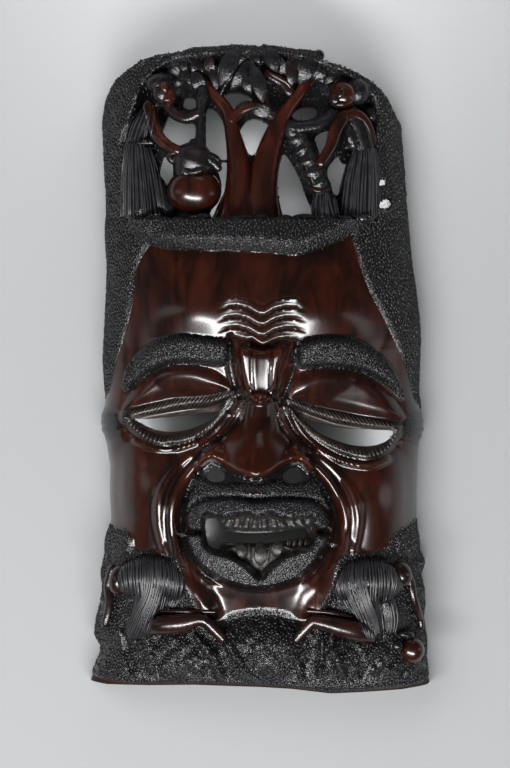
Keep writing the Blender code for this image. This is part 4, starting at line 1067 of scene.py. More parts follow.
def kneeling_left():
    """The first woman bent double on the base: hips, skirt, thigh and shin, shoulder and arm."""
    on = on_log
    return [
        limb(on, [(-86, 113, -1, 17), (-99, 118, 1, 20), (-116, 119, 1, 21), (-131, 115, -1, 18)], BLACK, 32),
        limb(on, [(-107, 112, 3, 18), (-112, 92, 1, 17), (-119, 76, -1, 14), (-126, 63, -3, 11)], BLACK, 32),
        ball(on, -143, 115, 7, (11, 16, 12), 0.3, -12),
        limb(on, [(-150, 126, 6, 5), (-155, 110, 8, 4.5), (-154, 90, 8, 4), (-158, 70, 6, 4)], 0.7),
        limb(on, [(-113, 66, 2, 8), (-100, 70, 9, 10), (-80, 72, 11, 9.5), (-63, 76, 11, 7), (-54, 73, 9, 6),
                  (-44, 63, 6, 5.5), (-36, 54, 3, 5)], 0.35),
        limb(on, [(-102, 84, 3, 2), (-76, 84, 6, 2.5), (-46, 84, 6, 2)], 0.2, 12),
    ]


def kneeling_right():
    """The second woman, with her bowed head beside her."""
    on = on_log
    return [
        limb(on, [(86, 112, -1, 17), (100, 116, 1, 20), (117, 116, 1, 21), (131, 112, -1, 17)], BLACK, 32),
        limb(on, [(102, 110, 3, 18), (106, 92, 1, 17), (111, 77, -1, 14), (116, 62, -3, 11)], BLACK, 32),
        limb(on, [(126, 94, -2, 12), (130, 80, -2, 12), (132, 66, -3, 9)], BLACK, 24),
        ball(on, 143, 121, 6, (12, 14, 12), 0.3, 25),
        limb(on, [(146, 128, 6, 5), (154, 112, 8, 4.5), (157, 96, 8, 4), (163, 78, 6, 4), (165, 66, 3, 3.5)],
             0.4),
        limb(on, [(112, 57, 2, 8), (99, 63, 9, 10), (80, 68, 11, 9.5), (62, 73, 11, 7.5), (53, 73, 9, 6),
                  (44, 64, 6, 5.5), (37, 55, 3, 5)], 0.35),
        limb(on, [(48, 85, 5, 2), (70, 83, 6, 2.5), (92, 78, 4, 2)], 0.3, 12),
        ball(on, 155, 43, 8, (13, 13.5, 13), BROWN),
        ball(on, 149, 59, 6, (9, 5, 8), BLACK, -10), ball(on, 140, 48, 6, (6, 6, 6), BLACK),
    ]


def teeth():
    """The lower teeth, like spades, and the small pegs in the cup beside them."""
    spades = [(-19, 146, 19, 12, 108, 12), (-10, 144, 19, 4, 100, 0), (0, 143, 25, 14, 90, 8),
              (10, 144, 19, 4, 80, 0), (18, 148, 18, 12, 72, -12)]
    forms = [leaf(on_log, x, y, 6, length, width, turn, 0.9, tilt, 0.55)
             for x, y, length, width, turn, tilt in spades]
    forms += [leaf(on_log, x, 153.5, 3, 10, 3.5, 90, 0.4) for x in (29, 35, 41, 47)]
    forms.append(limb(on_log, [(25, 150, 6, 1.4), (34, 147, 6, 1.6), (44, 149, 5, 1.6), (51, 154, 4, 1.4)],
                      0.7, 10))
    return forms


# Cutters


def prism(outline):
    """A cutter that passes straight through the block."""
    ring = smooth_line(outline, 4, closed=True)
    n = len(ring)
    verts = [(px, py, pz) for pz in (CUT_LOW, CUT_HIGH) for px, py in ring]
    faces = [tuple(range(n)), tuple(range(n, 2 * n))]
    faces += [(i, (i + 1) % n, n + (i + 1) % n, n + i) for i in range(n)]
    return verts, faces, 1.0


def hollow():
    """The cutter of the hollow back, a long dish inside the block's walls, open behind."""
    across, up, out = scale()
    s = sizes()
    rows, columns = 41, 33
    squareness, least_width, least_height, least_depth = 2.2, 0.4, 0.3, 5.0
    turn = np.linspace(-math.pi / 2, math.pi / 2, columns)
    low, high = s.foot_wall / up, DRAWN_HEIGHT - s.arch_wall / up
    verts = []
    for r in range(rows):
        v = math.sin(math.pi * (r / (rows - 1) - 0.5))
        y = low + (high - low) * (v + 1) / 2
        inset = max(1 - abs(v) ** 7, 0.0) ** (1 / squareness)
        left, right = edges_at(np.array(y))
        wide = (np.where(turn < 0, left, right) - s.side_wall / across) * max(inset, least_width)
        tall = max(np.interp(y, CREST_Y, CREST) - s.front_wall / out, least_depth)
        tall = tall * max(inset, least_height)
        ring = [(wide[c] * math.sin(t), y, tall * math.cos(t) ** ROUNDNESS) for c, t in enumerate(turn)]
        ring[0], ring[-1] = (ring[0][0], y, CUT_LOW), (ring[-1][0], y, CUT_LOW)
        verts += ring
    faces = grid_faces(rows, columns)
    faces += [tuple(range(columns)), tuple((rows - 1) * columns + c for c in range(columns))]
    faces += [(r * columns, (r + 1) * columns, (r + 2) * columns - 1, (r + 1) * columns - 1)
              for r in range(rows - 1)]
    return verts, faces, 1.0


def pierce(obj, outlines):
    """Cuts the hollow back and some openings out of a block."""
    for name, forms in (("hollow_cutter", [hollow()]), ("opening_cutter", [prism(o) for o in outlines])):
        tool = gathered(name, forms)
        modifier = obj.modifiers.new(name, "BOOLEAN")
        modifier.operation = "DIFFERENCE"
        modifier.solver = "EXACT"
        modifier.object = tool
    settle(obj)
    if not obj.data.vertices:
        raise RuntimeError(f"the cut of {obj.name} failed")
    for name in ("hollow_cutter", "opening_cutter"):
        bpy.data.objects.remove(bpy.data.objects[name])


def mark(obj, fields):
    """Writes a block's stain, stipple, dust, hatching, edges (worn crests, and hollows for painted shade) and
    raw back on its points.
    """
    mesh = obj.data
    points = np.empty(3 * len(mesh.vertices))
    mesh.vertices.foreach_get("co", points)
    x, y, z = drawn(points.reshape(-1, 3))
    # Wood is raw from 4 to 8 mm under the carved front, where the foot stands, in cuts and at the back rim
    raw = np.clip((log_height(x, y) + read(fields["height"], x, y) - z - 4) / 4, 0, 1)
    worn = np.clip(1.1 - (y - np.interp(x, FOOT_X, FOOT_EDGE)) / 2.5, 0, 0.8)
    raw = np.maximum.reduce([raw, worn, read(fields["unpolished"], x, y), np.where(z < 0.3, 0.8, 0)])
    for name in ("stain", "stipple", "dust", "hatch", "edge"):
        value = read(fields[name], x, y) * (1 - raw)
        layer = mesh.attributes.get(name) or mesh.attributes.new(name, "FLOAT", "POINT")
        layer.data.foreach_set("value", value.astype("f"))
    mesh.attributes.new("raw", "FLOAT", "POINT").data.foreach_set("value", raw.astype("f"))


# Geometry Nodes trees


def plug(tree, made, sockets):
    """Sets or links some inputs of a node."""
    for key, value in sockets.items():
        if isinstance(value, bpy.types.NodeSocket):
            tree.links.new(value, made.inputs[key])
        else:
            made.inputs[key].default_value = value


def add(tree, kind, sockets=None, **settings):
    """Adds a node with its settings, and sets or links its inputs."""
    made = tree.nodes.new(kind)
    for key, value in settings.items():
        setattr(made, key, value)
    plug(tree, made, sockets or {})
    return made


def reckon(tree, operation, first, second):
    """What an operation makes of two numbers or sockets."""
    return add(tree, "ShaderNodeMath", {0: first, 1: second}, operation=operation).outputs[0]


def geometry_tree(name, inputs):
    """An empty tree with a geometry going in and out, and named inputs."""
    tree = bpy.data.node_groups.new(name, "GeometryNodeTree")
    face = tree.interface
    face.new_socket("Geometry", in_out="INPUT", socket_type="NodeSocketGeometry")
    face.new_socket("Geometry", in_out="OUTPUT", socket_type="NodeSocketGeometry")
    for title, kind in inputs.items():
        face.new_socket(title, in_out="INPUT", socket_type=kind)
    return tree, tree.nodes.new("NodeGroupInput"), tree.nodes.new("NodeGroupOutput")


def random_vector(tree, low, high, seed):
    """A random vector between two whose parts are numbers or sockets."""
    low, high = (add(tree, "ShaderNodeCombineXYZ", parts).outputs[0] for parts in (low, high))
    made = add(tree, "FunctionNodeRandomValue", {0: low, 1: high, "Seed": seed}, data_type="FLOAT_VECTOR")
    return made.outputs[0]


def coated(tree, made, ask, out):
    """Ends a tree: makes its instances real and gives them the material that was asked for."""
    plain = add(tree, "GeometryNodeRealizeInstances", {"Geometry": made.outputs[0]})
    coat = add(tree, "GeometryNodeSetMaterial", {"Geometry": plain.outputs[0], "Material": ask["Material"]})
    tree.links.new(coat.outputs[0], out.inputs["Geometry"])
    return tree


def stipple_tree():
    """Pellets of wood over a surface wherever its points are marked, long or round, lying one way."""
    tree, given, out = geometry_tree("stipple_pellets", {
        "Marked": "NodeSocketString", "Spacing": "NodeSocketFloat", "Radius": "NodeSocketFloat",
        "Length": "NodeSocketFloat", "Along": "NodeSocketVector", "Wander": "NodeSocketFloat",
        "Seed": "NodeSocketInt", "Material": "NodeSocketMaterial"})
    ask = given.outputs
    marked = add(tree, "GeometryNodeInputNamedAttribute", {"Name": ask["Marked"]}, data_type="FLOAT")
    dense = reckon(tree, "DIVIDE", reckon(tree, "DIVIDE", 3.0, ask["Spacing"]), ask["Spacing"])
    spots = add(tree, "GeometryNodeDistributePointsOnFaces", {
        "Mesh": ask["Geometry"], "Distance Min": ask["Spacing"], "Density Max": dense,
        "Density Factor": marked.outputs["Attribute"], "Seed": ask["Seed"]}, distribute_method="POISSON")
    pellet = add(tree, "GeometryNodeMeshIcoSphere", {"Radius": ask["Radius"], "Subdivisions": 1})
    shortest = reckon(tree, "MULTIPLY", ask["Length"], 0.65)
    longest = reckon(tree, "MULTIPLY", ask["Length"], 1.3)
    back = reckon(tree, "MULTIPLY", ask["Wander"], -1.0)
    stretch = random_vector(tree, {0: 0.5, 1: shortest, 2: 0.4}, {0: 1.15, 1: longest, 2: 1.1}, ask["Seed"])
    turn = random_vector(tree, {2: back}, {2: ask["Wander"]}, ask["Seed"])
    spun = add(tree, "FunctionNodeEulerToRotation", {0: turn})
    combed_way = add(tree, "FunctionNodeAlignRotationToVector", {
        "Rotation": spots.outputs["Rotation"], "Vector": ask["Along"]}, axis="Y", pivot_axis="Z")
    stand = add(tree, "FunctionNodeRotateRotation", {
        "Rotation": combed_way.outputs[0], "Rotate By": spun.outputs[0]}, rotation_space="LOCAL")
    beads = add(tree, "GeometryNodeInstanceOnPoints", {
        "Points": spots.outputs["Points"], "Instance": pellet.outputs["Mesh"],
        "Rotation": stand.outputs[0], "Scale": stretch})
    return coated(tree, beads, ask, out)


def strand_tree():
    """A round strand along each curve, as thick as the curve's own radius."""
    tree, given, out = geometry_tree("carved_strands", {
        "Sides": "NodeSocketInt", "Material": "NodeSocketMaterial"})
    ask = given.outputs
    ring = add(tree, "GeometryNodeCurvePrimitiveCircle", {"Resolution": ask["Sides"], "Radius": 1.0},
               mode="RADIUS")
    swept = add(tree, "GeometryNodeCurveToMesh", {
        "Curve": ask["Geometry"], "Profile Curve": ring.outputs["Curve"], "Fill Caps": True})
    # Where the sweep has a scale of its own, the curve's radius is handed to it
    if "Scale" in swept.inputs:
        radius = add(tree, "GeometryNodeInputRadius")
        tree.links.new(radius.outputs[0], swept.inputs["Scale"])
    return coated(tree, swept, ask, out)


def with_tree(obj, tree, values):
    """Puts a tree on an object and sets its inputs by their identifiers."""
    modifier = obj.modifiers.new(tree.name, "NODES")
    modifier.node_group = tree
    for item in tree.interface.items_tree:
        if item.in_out == "INPUT" and item.name in values:
            modifier[item.identifier] = values[item.name]


def pellets(name, emitter, marked, box, seed, material, spacing, girth, length, lean, wander):
    """The stipple of the part of a block that lies between two drawn heights, as a piece of its own."""
    low, high = box
    least_mark = 0.05
    # Inside the frame only faces that look up are stippled, and round its edge also its sides
    inner_half, least_rise_inside, least_rise_outside = 0.13, 0.45, -0.3
    copy = bpy.data.objects.new(name, emitter.data.copy())
    bpy.context.scene.collection.objects.link(copy)
    bm = bmesh.new()
    bm.from_mesh(copy.data)
    layer = bm.verts.layers.float[marked]
    up = scale().y
    lost = []
    for face in bm.faces:
        x, y, _ = face.calc_center_median()
        y = y / up + DRAWN_HEIGHT / 2
        inner = abs(x) < inner_half and y < ARCH_SPRING
        steep = face.normal.z < (least_rise_inside if inner else least_rise_outside)
        if steep or not low <= y < high or max(v[layer] for v in face.verts) < least_mark:
            lost.append(face)
    bmesh.ops.delete(bm, geom=lost, context="FACES")
    bm.to_mesh(copy.data)
    bm.free()
    with_tree(copy, stipple_tree(), {
        "Marked": marked, "Spacing": spacing, "Radius": spacing * girth, "Length": length,
        "Along": (lean, 1, 0), "Wander": wander, "Seed": seed, "Material": material})
    return settle(copy)


def skin(*objects):
    """A tree of some objects' faces, to lay lines on."""
    verts, faces = [], []
    for obj in objects:
        first = len(verts)
        verts += [v.co.copy() for v in obj.data.vertices]
        faces += [[first + i for i in p.vertices] for p in obj.data.polygons]
    return BVHTree.FromPolygons(verts, faces)


def laid(name, lines, surface, material):
    """Six-sided strands laid on a surface along lines of (x, y, radius, lift) in drawn millimetres."""
    curve = bpy.data.curves.new(name, "CURVE")
    curve.dimensions = "3D"
    for line in lines:
        spline = curve.splines.new("POLY")
        spline.points.add(len(line) - 1)
        places = place_all([(px, py, 0) for px, py, _, _ in line])
        for point, place, (_, _, radius, lift) in zip(spline.points, places, line):
            hit = surface.ray_cast(Vector((place[0], place[1], 1.0)), Vector((0, 0, -1)))[0]
            height = hit.z if hit else 0.0
            point.co = (place[0], place[1], height + lift * MM, 1.0)
            point.radius = radius * MM
    obj = bpy.data.objects.new(name, curve)
    bpy.context.scene.collection.objects.link(obj)
    with_tree(obj, strand_tree(), {"Sides": 6, "Material": material})
    return settle(obj)


def combed(guides, count, radius=0.9, points=11):
    """Strands between the first and last of some guide lines, each tapering and wandering a little."""
    lift, wander = 0.7, 1.3
    guides = [smooth_line(g, 12) for g in guides]
    length = min(len(g) for g in guides)
    guides = np.array([g[np.linspace(0, len(g) - 1, length).astype(int)] for g in guides])
    lines = []
    for i in range(count):
        across = i / (count - 1) * (len(guides) - 1)
        k = min(int(across), len(guides) - 2)
        line = guides[k] * (1 - across + k) + guides[k + 1] * (across - k)
        line = line[np.linspace(0, length - 1, points).astype(int)]
        drift = wander * math.sin(i * 2.4)
        start = 0.08 * length * math.sin(i * 4.1)
        stout = 1 + 0.2 * math.sin(i * 5.3)
        stand = lift * (1 + 0.5 * math.sin(3.1 * i))
        lines.append([(px + drift * math.sin(2.2 * j / points + i), py - start * (points - j) / points,
                       radius * (0.6 + 0.4 * math.sin(math.pi * (j + 0.5) / points)) * stout, stand)
                      for j, (px, py) in enumerate(line)])
    return lines


def skirts(rows, place=list):
    """The strands of several skirts, or parts of them, each between guide lines of its own."""
    lines = []
    for guides, *settings in rows:
        lines += combed([place(guide) for guide in guides], *settings)
    return lines


def lashes(line, reach, slant, radius):
    """Cut lashes across a line, as short slanted strands."""
    path = smooth_line(line, 12)
    run = np.concatenate([[0], np.cumsum(np.hypot(*np.diff(path, axis=0).T))])
    pitch = sizes().lash / MM
    out = []
    for at in np.arange(pitch, run[-1] - pitch, pitch):
        x, y = np.interp(at, run, path[:, 0]), np.interp(at, run, path[:, 1])
        fade = math.sin(math.pi * at / run[-1]) ** 0.4
        dx, dy = slant * reach * fade / 2, reach * fade / 2
        out.append([(x + t * dx, y + t * dy, radius * (1.05 - t * t), 0.5) for t in np.linspace(-1, 1, 8)])
    return out


# Materials


def shader(name):
    """A new material, its nodes and its surface."""
    material = bpy.data.materials.new(name)
    material.use_nodes = True
    return material, material.node_tree, material.node_tree.nodes["Principled BSDF"]


def rgba(value):
    """A colour with full cover."""
    return (*value, 1.0)


def noise(tree, where, scale, detail, roughness=0.5, distortion=0.0):
    """A soft noise with so many cells to a metre of its coordinates."""
    made = add(tree, "ShaderNodeTexNoise", {"Vector": where, "Scale": scale, "Detail": detail,
                                            "Roughness": roughness, "Distortion": distortion})
    return made.outputs["Fac"]


def stretched(tree, where, scales, turn=0.0):
    """Coordinates turned about the height and scaled along each axis."""
    made = add(tree, "ShaderNodeMapping", {"Vector": where, "Rotation": (0, 0, turn), "Scale": scales})
    return made.outputs[0]


def remap(tree, value, low, high, first, last):
    """A value that goes from first to last while another goes from low to high."""
    return add(tree, "ShaderNodeMapRange", {"Value": value, "From Min": low, "From Max": high,
                                            "To Min": first, "To Max": last}).outputs[0]


def mix(tree, share, first, second):
    """One colour turning into another by a share."""
    return add(tree, "ShaderNodeMix", {0: share, 6: first, 7: second}, data_type="RGBA").outputs[2]


def ramp(tree, value, *stops):
    """A colour that changes between two stops, each with its place and its colour."""
    made = add(tree, "ShaderNodeValToRGB", {"Fac": value})
    for element, (place, tone) in zip(made.color_ramp.elements, stops):
        element.position = place
        element.color = rgba(tone)
    return made.outputs[0]


def carved_rosewood():
    """Dark rosewood, carved with gouges, stained black in places, oiled and polished by hand."""
    material, tree, base = shader("carved_rosewood")
    c = colours()
    stain, stipple, dust, edge, raw, hatch = (
        add(tree, "ShaderNodeAttribute", attribute_name=name, attribute_type="GEOMETRY").outputs["Fac"]
        for name in ("stain", "stipple", "dust", "edge", "raw", "hatch"))
    where = add(tree, "ShaderNodeTexCoord").outputs["Object"]
    # Figure of the heartwood, in soft flames about 30 mm wide and three times as long
    flames = noise(tree, stretched(tree, where, (34, 11, 24)), 1.0, 6.0, 0.58, 1.1)
    wood = ramp(tree, flames, (0.38, c.streak), (0.72, c.heartwood))
    # Growth lines, a millimetre or two apart
    lines = noise(tree, stretched(tree, where, (520, 26, 300)), 1.0, 3.0)
    wood = mix(tree, remap(tree, lines, 0.35, 0.75, 0.0, 0.4), wood, rgba(c.streak))
    # Crests are rubbed thin of stain to a lighter brown, and the hollows are darkened nearly to the stain's
    # black as painted shade
    wood = mix(tree, remap(tree, edge, 0.35, 1.0, 0.0, 0.14), wood, rgba(c.rubbed))
    wood = mix(tree, remap(tree, edge, -0.1, -0.9, 0.0, 0.95), wood, rgba(c.stain))
    # Bloom and stain break up in patches of a few millimetres
    patches = noise(tree, where, 260.0, 4.0, 0.65)
    black = ramp(tree, patches, (0.46, c.stain), (0.78, c.bloom))
    black = mix(tree, reckon(tree, "MULTIPLY", hatch, 0.55), black, rgba(c.bloom))
    look = mix(tree, stain, wood, black)
    settled = reckon(tree, "MULTIPLY", dust, remap(tree, patches, 0.4, 0.7, 0.0, 1.0))
    look = mix(tree, settled, look, rgba(c.dust))
    look = mix(tree, raw, look, rgba(c.raw))
    # The polish is uneven along the figure, and dusty or raw wood is dull
    dull = reckon(tree, "MAXIMUM", raw, reckon(tree, "MULTIPLY", dust, 1.5))
    gloss = reckon(tree, "MAXIMUM", remap(tree, stain, 0.0, 1.0, 0.23, 0.24), dull)
    gloss = reckon(tree, "ADD", gloss, remap(tree, flames, 0.0, 1.0, -0.08, 0.12))
    # Punch marks 1.6 mm across in the stained wood, pores in the polished wood
    worked = reckon(tree, "MAXIMUM", reckon(tree, "MULTIPLY", stain, 0.35), stipple)
    marks = add(tree, "ShaderNodeTexVoronoi", {"Vector": where, "Scale": 620.0}, feature="F1")
    punched = reckon(tree, "MULTIPLY", marks.outputs["Distance"], worked)
    relief = reckon(tree, "ADD", punched, reckon(tree, "MULTIPLY", lines, 0.05))
    # Cut lines about 1.4 mm apart on the lips, and three times as long
    slanted = stretched(tree, where, (1, 0.35, 1), 0.5)
    cut = reckon(tree, "MULTIPLY", noise(tree, slanted, 700.0, 2.0), hatch)
    relief = reckon(tree, "ADD", relief, reckon(tree, "MULTIPLY", cut, 2.5))
    # Gouge marks about 3 mm wide and 8 mm long in the stained wood
    gouges = noise(tree, stretched(tree, where, (300, 130, 300), 0.3), 1.0, 3.0, 0.6)
    gouged = reckon(tree, "MULTIPLY", gouges, worked)
    relief = reckon(tree, "ADD", relief, reckon(tree, "MULTIPLY", gouged, 2.2))
    bump = add(tree, "ShaderNodeBump", {"Height": relief, "Strength": 0.7, "Distance": 0.0011})
    bare = reckon(tree, "MAXIMUM", raw, stain)
    plug(tree, base, {
        "Base Color": look, "Roughness": gloss, "Normal": bump.outputs[0],
        "Specular IOR Level": remap(tree, raw, 0.0, 1.0, 0.5, 0.0),
        "Coat Weight": remap(tree, bare, 0.0, 1.0, 0.3, 0.05), "Coat Roughness": 0.18})
    return material


def patchy(name, per_metre, detail, roughness, dark, light, finish):
    """A material that is dark, and lighter in worn patches. It gives its nodes and the patches as well."""
    material, tree, base = shader(name)
    where = add(tree, "ShaderNodeTexCoord").outputs["Object"]
    patches = noise(tree, where, per_metre, detail, roughness)
    plug(tree, base, {"Base Color": ramp(tree, patches, dark, light), **finish})
    return material, tree, base, patches


def stained_pellets():
    """Stippled rosewood, stained black: patches of it are rubbed to a shine and the rest is dull."""
    c = colours()
    # Polish in patches about 15 mm across
    material, tree, base, patches = patchy(
        "stained_pellets", 65.0, 5.0, 0.75, (0.48, c.stain), (0.8, c.bloom),
        {"Coat Weight": 0.05, "Coat Roughness": 0.2})
    plug(tree, base, {"Roughness": remap(tree, patches, 0.44, 0.62, 0.54, 0.3)})
    return material


def rubbed_lashes():
    """Lashes cut in brown wood: dark, and rubbed to a warm grey brown in patches."""
    # Wear in patches about 6 mm across
    return patchy("rubbed_lashes", 170.0, 4.0, 0.7, (0.35, linear("#120c0b")), (0.7, linear("#43362f")),
                  {"Roughness": 0.36, "Coat Weight": 0.1, "Coat Roughness": 0.15})[0]


def combed_grass():
    """Grass skirts stained black, worn in patches to a dull silvery grey."""
    # Worn patches about 10 mm across
    return patchy("combed_grass", 100.0, 5.0, 0.7, (0.35, colours().stain), (0.75, linear("#262429")),
                  {"Roughness": 0.5, "Coat Weight": 0.1, "Coat Roughness": 0.25})[0]


def cut_lips():
    """Lips stained black and then rubbed to a silvery grey in patches."""
    # Rubbed patches about 8 mm across
    return patchy("cut_lips", 130.0, 4.0, 0.7, (0.35, colours().stain), (0.72, linear("#17161b")),
                  {"Roughness": 0.36, "Coat Weight": 0.1, "Coat Roughness": 0.2})[0]


def pale_floor():
    """A matt white table that glows a little, as photographers use it, so that the gaps show pale."""
    material, tree, base = shader("pale_floor")
    plug(tree, base, {"Base Color": (0.235, 0.24, 0.245, 1), "Roughness": 0.9, "Specular IOR Level": 0.1,
                      "Emission Color": (1, 1, 0.95, 1), "Emission Strength": 0.01})
    return material


def material_of(maker):
    """The material that a function makes, made once."""
    return bpy.data.materials.get(maker.__name__) or maker()


# Operators


class MakeFace(bpy.types.Operator):
    """Carves the face and the ground of the base from the lower part of the block"""

    bl_idname = "carved_mask.face"
    bl_label = "Face"

    def execute(self, context):
        fields = surface_fields(face_relief, False)
        face = block("face", edge_table(FOOT_X, FOOT_EDGE), np.full(len(TABLE_X), LEDGE), fields)
        pierce(face, FACE_OPENINGS.values())
        mark(face, fields)
        finish_piece(face, material_of(carved_rosewood), replaces=True)
        return {"FINISHED"}


class MakeCrown(bpy.types.Operator):
    """Carves the frame and the sunk ground of the crown from the upper part of the block"""

    bl_idname = "carved_mask.crown"
    bl_label = "Crown"

    def execute(self, context):
        fields = surface_fields(frame_relief, True)
        bottom = np.full(len(TABLE_X), LEDGE - CROWN_LAP)
        crown = block("crown", bottom, edge_table(ARCH_X, ARCH_EDGE), fields)
        pierce(crown, [on_ledge(outline) for outline in CROWN_OPENINGS.values()])
        mark(crown, fields)
        finish_piece(crown, material_of(carved_rosewood), replaces=True)
        return {"FINISHED"}


class MakeFigures(bpy.types.Operator):
    """Carves the tree, the women, the jar and the drum of the crown, and the two women of the base"""

    bl_idname = "carved_mask.figures"
    bl_label = "Figures"

    def execute(self, context):
        crown = tree() + woman_with_jar() + jar() + woman_with_drum() + drum() + ledge_lumps()
        base = kneeling_left() + kneeling_right()
        for name, forms in (("crown_figures", crown), ("base_figures", base)):
            finish_piece(gathered(name, forms), material_of(carved_rosewood), replaces=True)
        lower_teeth = gathered("teeth", teeth())
        dust = lower_teeth.data.attributes.new("dust", "FLOAT", "POINT").data
        dust.foreach_set("value", [0.3] * len(dust))
        finish_piece(lower_teeth, material_of(carved_rosewood))
        return {"FINISHED"}


class MakeLashes(bpy.types.Operator):
    """Cuts the lashes over and under both eye slots"""

    bl_idname = "carved_mask.lashes"
    bl_label = "Lashes"

    def execute(self, context):
        surface = skin(bpy.data.objects["face"])
        coat = material_of(rubbed_lashes)
        for side, slant in (("left", 0.8), ("right", -0.8)):
            lines = lashes(UPPER_LASH[side], reach=14, slant=slant, radius=0.8)
            lines += lashes(LOWER_LASH[side], reach=11, slant=slant * 0.6, radius=0.85)
            finish_piece(laid(f"{side}_lashes", lines, surface, coat), coat)
        return {"FINISHED"}


# The guide lines of the skirts, with the number of strands between them and their radius and points
BASE_SKIRTS = [
    ([[(-140, 133), (-141, 118), (-137, 98)], [(-127, 139), (-128, 118), (-125, 96)],
      [(-116, 139), (-117, 118), (-117, 98)]], 14),
    ([[(-116, 139), (-116, 118), (-119, 100), (-129, 82), (-138, 62)],
      [(-107, 140), (-106, 118), (-110, 98), (-118, 78), (-127, 56)],
      [(-98, 139), (-96, 118), (-101, 98), (-108, 78), (-114, 57)]], 17, 0.9, 16),
    ([[(-97, 138), (-95, 118), (-98, 100), (-101, 86)], [(-89, 135), (-86, 116), (-89, 98), (-93, 86)],
      [(-81, 127), (-78, 112), (-81, 98), (-86, 88)]], 10),
    ([[(80, 118), (77, 104), (84, 92), (91, 84)], [(84, 124), (83, 110), (90, 92), (96, 82)]], 6),
    ([[(85, 128), (84, 112), (93, 90), (103, 70), (108, 58)],
      [(97, 136), (97, 115), (104, 92), (111, 74), (115, 57)],
      [(109, 137), (108, 114), (112, 94), (118, 78), (121, 62)]], 17, 0.9, 16),
    ([[(110, 137), (112, 115), (112, 95)], [(124, 135), (127, 115), (125, 94)],
      [(135, 130), (139, 113), (134, 96)]], 14),
    ([[(121, 92), (124, 78), (126, 62)], [(138, 90), (140, 76), (138, 62)]], 9),
]
CROWN_SKIRTS = [
    ([[(-137, 78), (-141, 45), (-142, 4)], [(-126, 76), (-124, 40), (-122, 3)],
      [(-112, 74), (-104, 45), (-97, 6)]], 20, 0.9, 16),
    ([[(-136, 98), (-141, 88), (-142, 80)], [(-118, 108), (-124, 94), (-128, 81)],
      [(-108, 108), (-110, 92), (-112, 80)]], 9, 0.9, 8),
    ([[(118, 72), (122, 45), (122, 4)], [(107, 72), (104, 40), (102, 2)], [(94, 70), (86, 40), (82, 6)]],
     20, 0.9, 16),
    ([[(76, 26), (78, 14), (81, 2)], [(57, 26), (55, 14), (55, 2)]], 9, 1.1),
]


class MakeStrands(bpy.types.Operator):
    """Combs the grass skirts of the four women and the fringe of the drum"""

    bl_idname = "carved_mask.strands"
    bl_label = "Skirts"

    def execute(self, context):
        objects = bpy.data.objects
        coat = material_of(combed_grass)
        base = skin(objects["face"], objects["base_figures"])
        finish_piece(laid("base_skirts", skirts(BASE_SKIRTS), base, coat), coat)
        crown = skin(objects["crown"], objects["crown_figures"])
        finish_piece(laid("crown_skirts", skirts(CROWN_SKIRTS, on_ledge), crown, coat), coat)
        return {"FINISHED"}


class MakePellets(bpy.types.Operator):
    """Stipples the hair, the brows, the moustache, the frame and the ground with pellets"""

    bl_idname = "carved_mask.pellets"
    bl_label = "Stipple"

    def execute(self, context):
        pitch = sizes().pellet
        black, grey = material_of(stained_pellets), material_of(cut_lips)
        first_seed = 3
        # Each with its block, mark and drawn heights, then its finish, spacing against the pitch, girth
        # against the spacing, length against the girth, lean across and wander
        rows = [("ground_pellets", "face", "stipple", (-20, 175), black, 1.0, 0.42, 2.1, 0, 1.2),
                ("moustache_pellets", "face", "stipple", (175, 240), black, 0.8, 0.45, 1.8, 0, 1.0),
                ("brow_pellets", "face", "stipple", (240, 372), black, 0.9, 0.4, 2.4, 0.1, 0.4),
                ("hair_pellets", "face", "stipple", (372, 490), black, 0.95, 0.4, 2.4, 0, 0.6),
                ("frame_pellets", "crown", "stipple", (470, 700), black, 1.0, 0.42, 2.0, 0, 0.5),
                ("lip_cuts", "face", "hatch", (100, 205), grey, 0.72, 0.3, 4.5, 0.6, 0.25)]
        for seed, (name, source, marked, box, coat, share, *shape) in enumerate(rows, first_seed):
            emitter = bpy.data.objects[source]
            piece = pellets(name, emitter, marked, box, seed, coat, pitch * share, *shape)
            finish_piece(piece, coat, crease=180)
        return {"FINISHED"}


# The table's reach from the middle, and the point that the lamps are aimed at, in metres
TABLE_REACH = 4.0
AIM = Vector((0, 0, 0.06))

# Each lamp's name, place in metres, power in watts, width and height
LAMPS = [
    ("key", (-0.20, -1.00, 1.55), 78, 2.1, 0.34),
    ("right", (1.5, -0.15, 0.40), 0.8, 0.4, 0.8),
    ("left", (-1.5, 0.1, 0.7), 0.6, 0.4, 0.8),
    ("top", (0.4, 1.7, 0.65), 0.6, 0.9, 0.3),
    ("fill", (-1.2, 0.6, 2.0), 34, 1.5, 1.5),
    ("over_crown_fill", (0, 0.58, 0.26), 3.4, 0.6, 0.2),
]

# Light that leaks in behind the mask and shows through its openings, from small lamps over the table
LEAKS = [
    ("left_eye", (-0.132, -0.056, 0.03), 0.044),
    ("right_eye", (0.130, -0.068, 0.03), 0.026),
    ("mouth", (-0.060, -0.165, 0.010), 0.0022),
    ("nostrils", (-0.006, -0.105, 0.02), 0.004),
    ("crown_left", (-0.09, 0.225, 0.03), 0.011),
    ("crown_middle", (-0.01, 0.225, 0.03), 0.018),
    ("crown_right", (0.085, 0.205, 0.03), 0.005),
    ("crown_foot", (0.03, 0.165, 0.03), 0.008),
    ("by_the_jar", (-0.045, 0.170, 0.03), 0.014),
    ("window", (0.124, 0.1916, 0.01), 0.003),
    ("notch", (0.127, 0.170, 0.01), 0.003),
]

# A leak's lamp that stands over this height is the wider kind, in metres
LEAK_HEIGHT = 0.02
WIDE_LEAK = 0.02
NARROW_LEAK = 0.004

# How far the camera stands over the table, the plane that the photograph is measured in, the height of
# that plane that its 768 pixels span, and its middle in drawn millimetres
CAMERA_HEIGHT = 6.0
PLANE_HEIGHT = 0.05
PLANE_SPAN = 0.785
VIEW_MIDDLE = (-5, 314.8)


